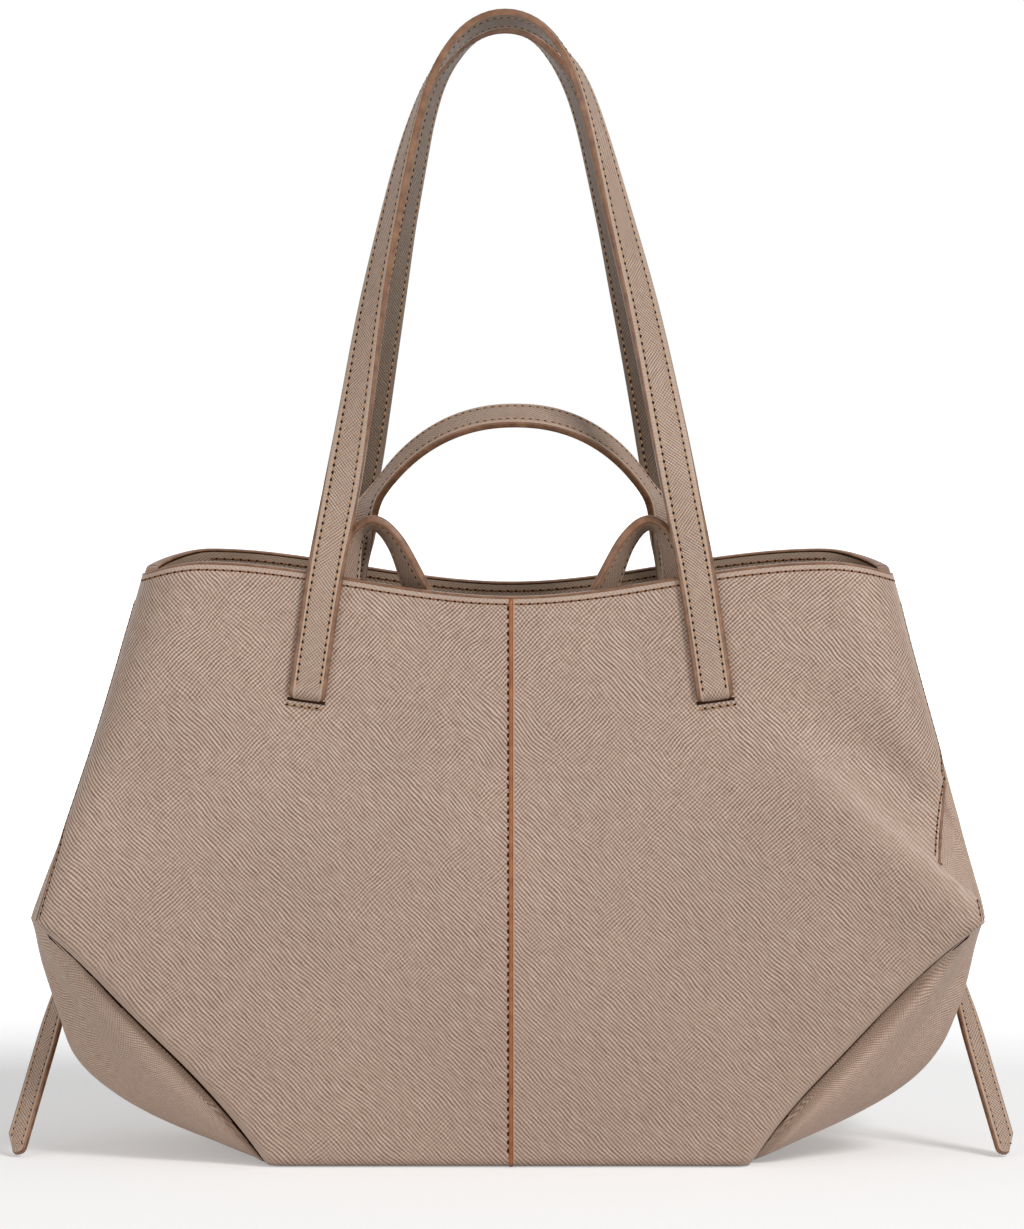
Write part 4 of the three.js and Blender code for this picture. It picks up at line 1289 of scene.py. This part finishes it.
# Nodes of the frame that stay: base, rim stays and tab anchors
kept = dict(base_panel=baseLeather, base_board=leatherBoard, base_lining=suedeCloth,
            front_rim_stay=leatherBoard, back_rim_stay=leatherBoard, left_tab_anchor=baseLeather,
            right_tab_anchor=baseLeather)
for node, material in kept.items():
    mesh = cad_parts[node].data
    mesh.materials.clear()
    mesh.materials.append(material)


# Floor, light and camera

studio = dict(floorSize=6, paper="#F0F0F0", nearGlow=0.3, farGlow=1.0, glowStart=0.4, glowEnd=1.1, world=0.36,
              key=((2.4, -3.1, 3.3), 1.3, 122), fill=((-2.0, -2.4, 0.7), 1.6, 13))


# 1 for rays that should see the white background
def seesBackground(tree):
    path = addNode(tree, "LightPath", {})
    seen = mathNode(tree, "MAXIMUM", path.outputs["Is Camera Ray"], path.outputs["Is Glossy Ray"])
    return mathNode(tree, "MAXIMUM", seen, path.outputs["Is Transmission Ray"])


# Seamless paper: matt white that keeps the soft shadow beside the bag and runs out to plain white
def addFloor():
    bm = bmesh.new()
    bmesh.ops.create_grid(bm, x_segments=1, y_segments=1, size=studio["floorSize"])
    bmesh.ops.translate(bm, verts=bm.verts, vec=(0, 0, -0.0004))
    mesh = bpy.data.meshes.new("floor")
    bm.to_mesh(mesh)
    bm.free()
    floor = bpy.data.objects.new("floor", mesh)
    bpy.context.scene.collection.objects.link(floor)
    material, tree = newMaterial("seamlessPaper")
    place = addNode(tree, "TexCoord", {}).outputs["Object"]
    away = addNode(tree, "VectorMath", {0: place}, operation="LENGTH").outputs["Value"]
    glow = mapRange(tree, away, studio["nearGlow"], studio["farGlow"], studio["glowStart"], studio["glowEnd"])
    shown = mathNode(tree, "MULTIPLY", glow, seesBackground(tree))
    closeMaterial(tree, {"Base Color": srgb(studio["paper"]), "Roughness": 0.9, "Specular IOR Level": 0.1,
                         "Emission Color": (1, 1, 1, 1), "Emission Strength": shown})
    mesh.materials.append(material)


def addLight(name, place, size, power):
    data = bpy.data.lights.new(name, "AREA")
    data.shape = "SQUARE"
    data.size = size
    data.energy = power
    light = bpy.data.objects.new(name, data)
    light.location = place
    light.rotation_euler = (Vector((0, 0, 0.25)) - Vector(place)).to_track_quat("-Z", "Y").to_euler()
    bpy.context.scene.collection.objects.link(light)


def addWorld(level):
    world = bpy.data.worlds.new("studio")
    world.use_nodes = True
    tree = world.node_tree
    tree.nodes.clear()
    dim = addNode(tree, "Background", {"Color": (1, 1, 1, 1), "Strength": level})
    white = addNode(tree, "Background", {"Color": (1, 1, 1, 1), "Strength": 1.0})
    mixed = addNode(tree, "MixShader", {0: seesBackground(tree), 1: dim.outputs["Background"],
                                        2: white.outputs["Background"]})
    addNode(tree, "OutputWorld", {"Surface": mixed.outputs["Shader"]})
    bpy.context.scene.world = world


addFloor()
addWorld(studio["world"])
addLight("key", *studio["key"])
addLight("fill", *studio["fill"])

view = dict(target=(0.0005, -0.075, 0.2663), distance=4.0, elevation=4.0, lens=244.9, sensor=36)
cameraData = bpy.data.cameras.new("photoView")
cameraData.lens = view["lens"]
cameraData.sensor_width = view["sensor"]
cameraData.clip_end = 50
camera = bpy.data.objects.new("photoView", cameraData)
tilt = math.radians(view["elevation"])
target = Vector(view["target"])
camera.location = target + Vector((0, -math.cos(tilt), math.sin(tilt))) * view["distance"]
camera.rotation_euler = (target - camera.location).to_track_quat("-Z", "Y").to_euler()
bpy.context.scene.collection.objects.link(camera)
bpy.context.scene.camera = camera
bpy.context.scene.view_settings.view_transform = "Standard"

print("pieces ready")
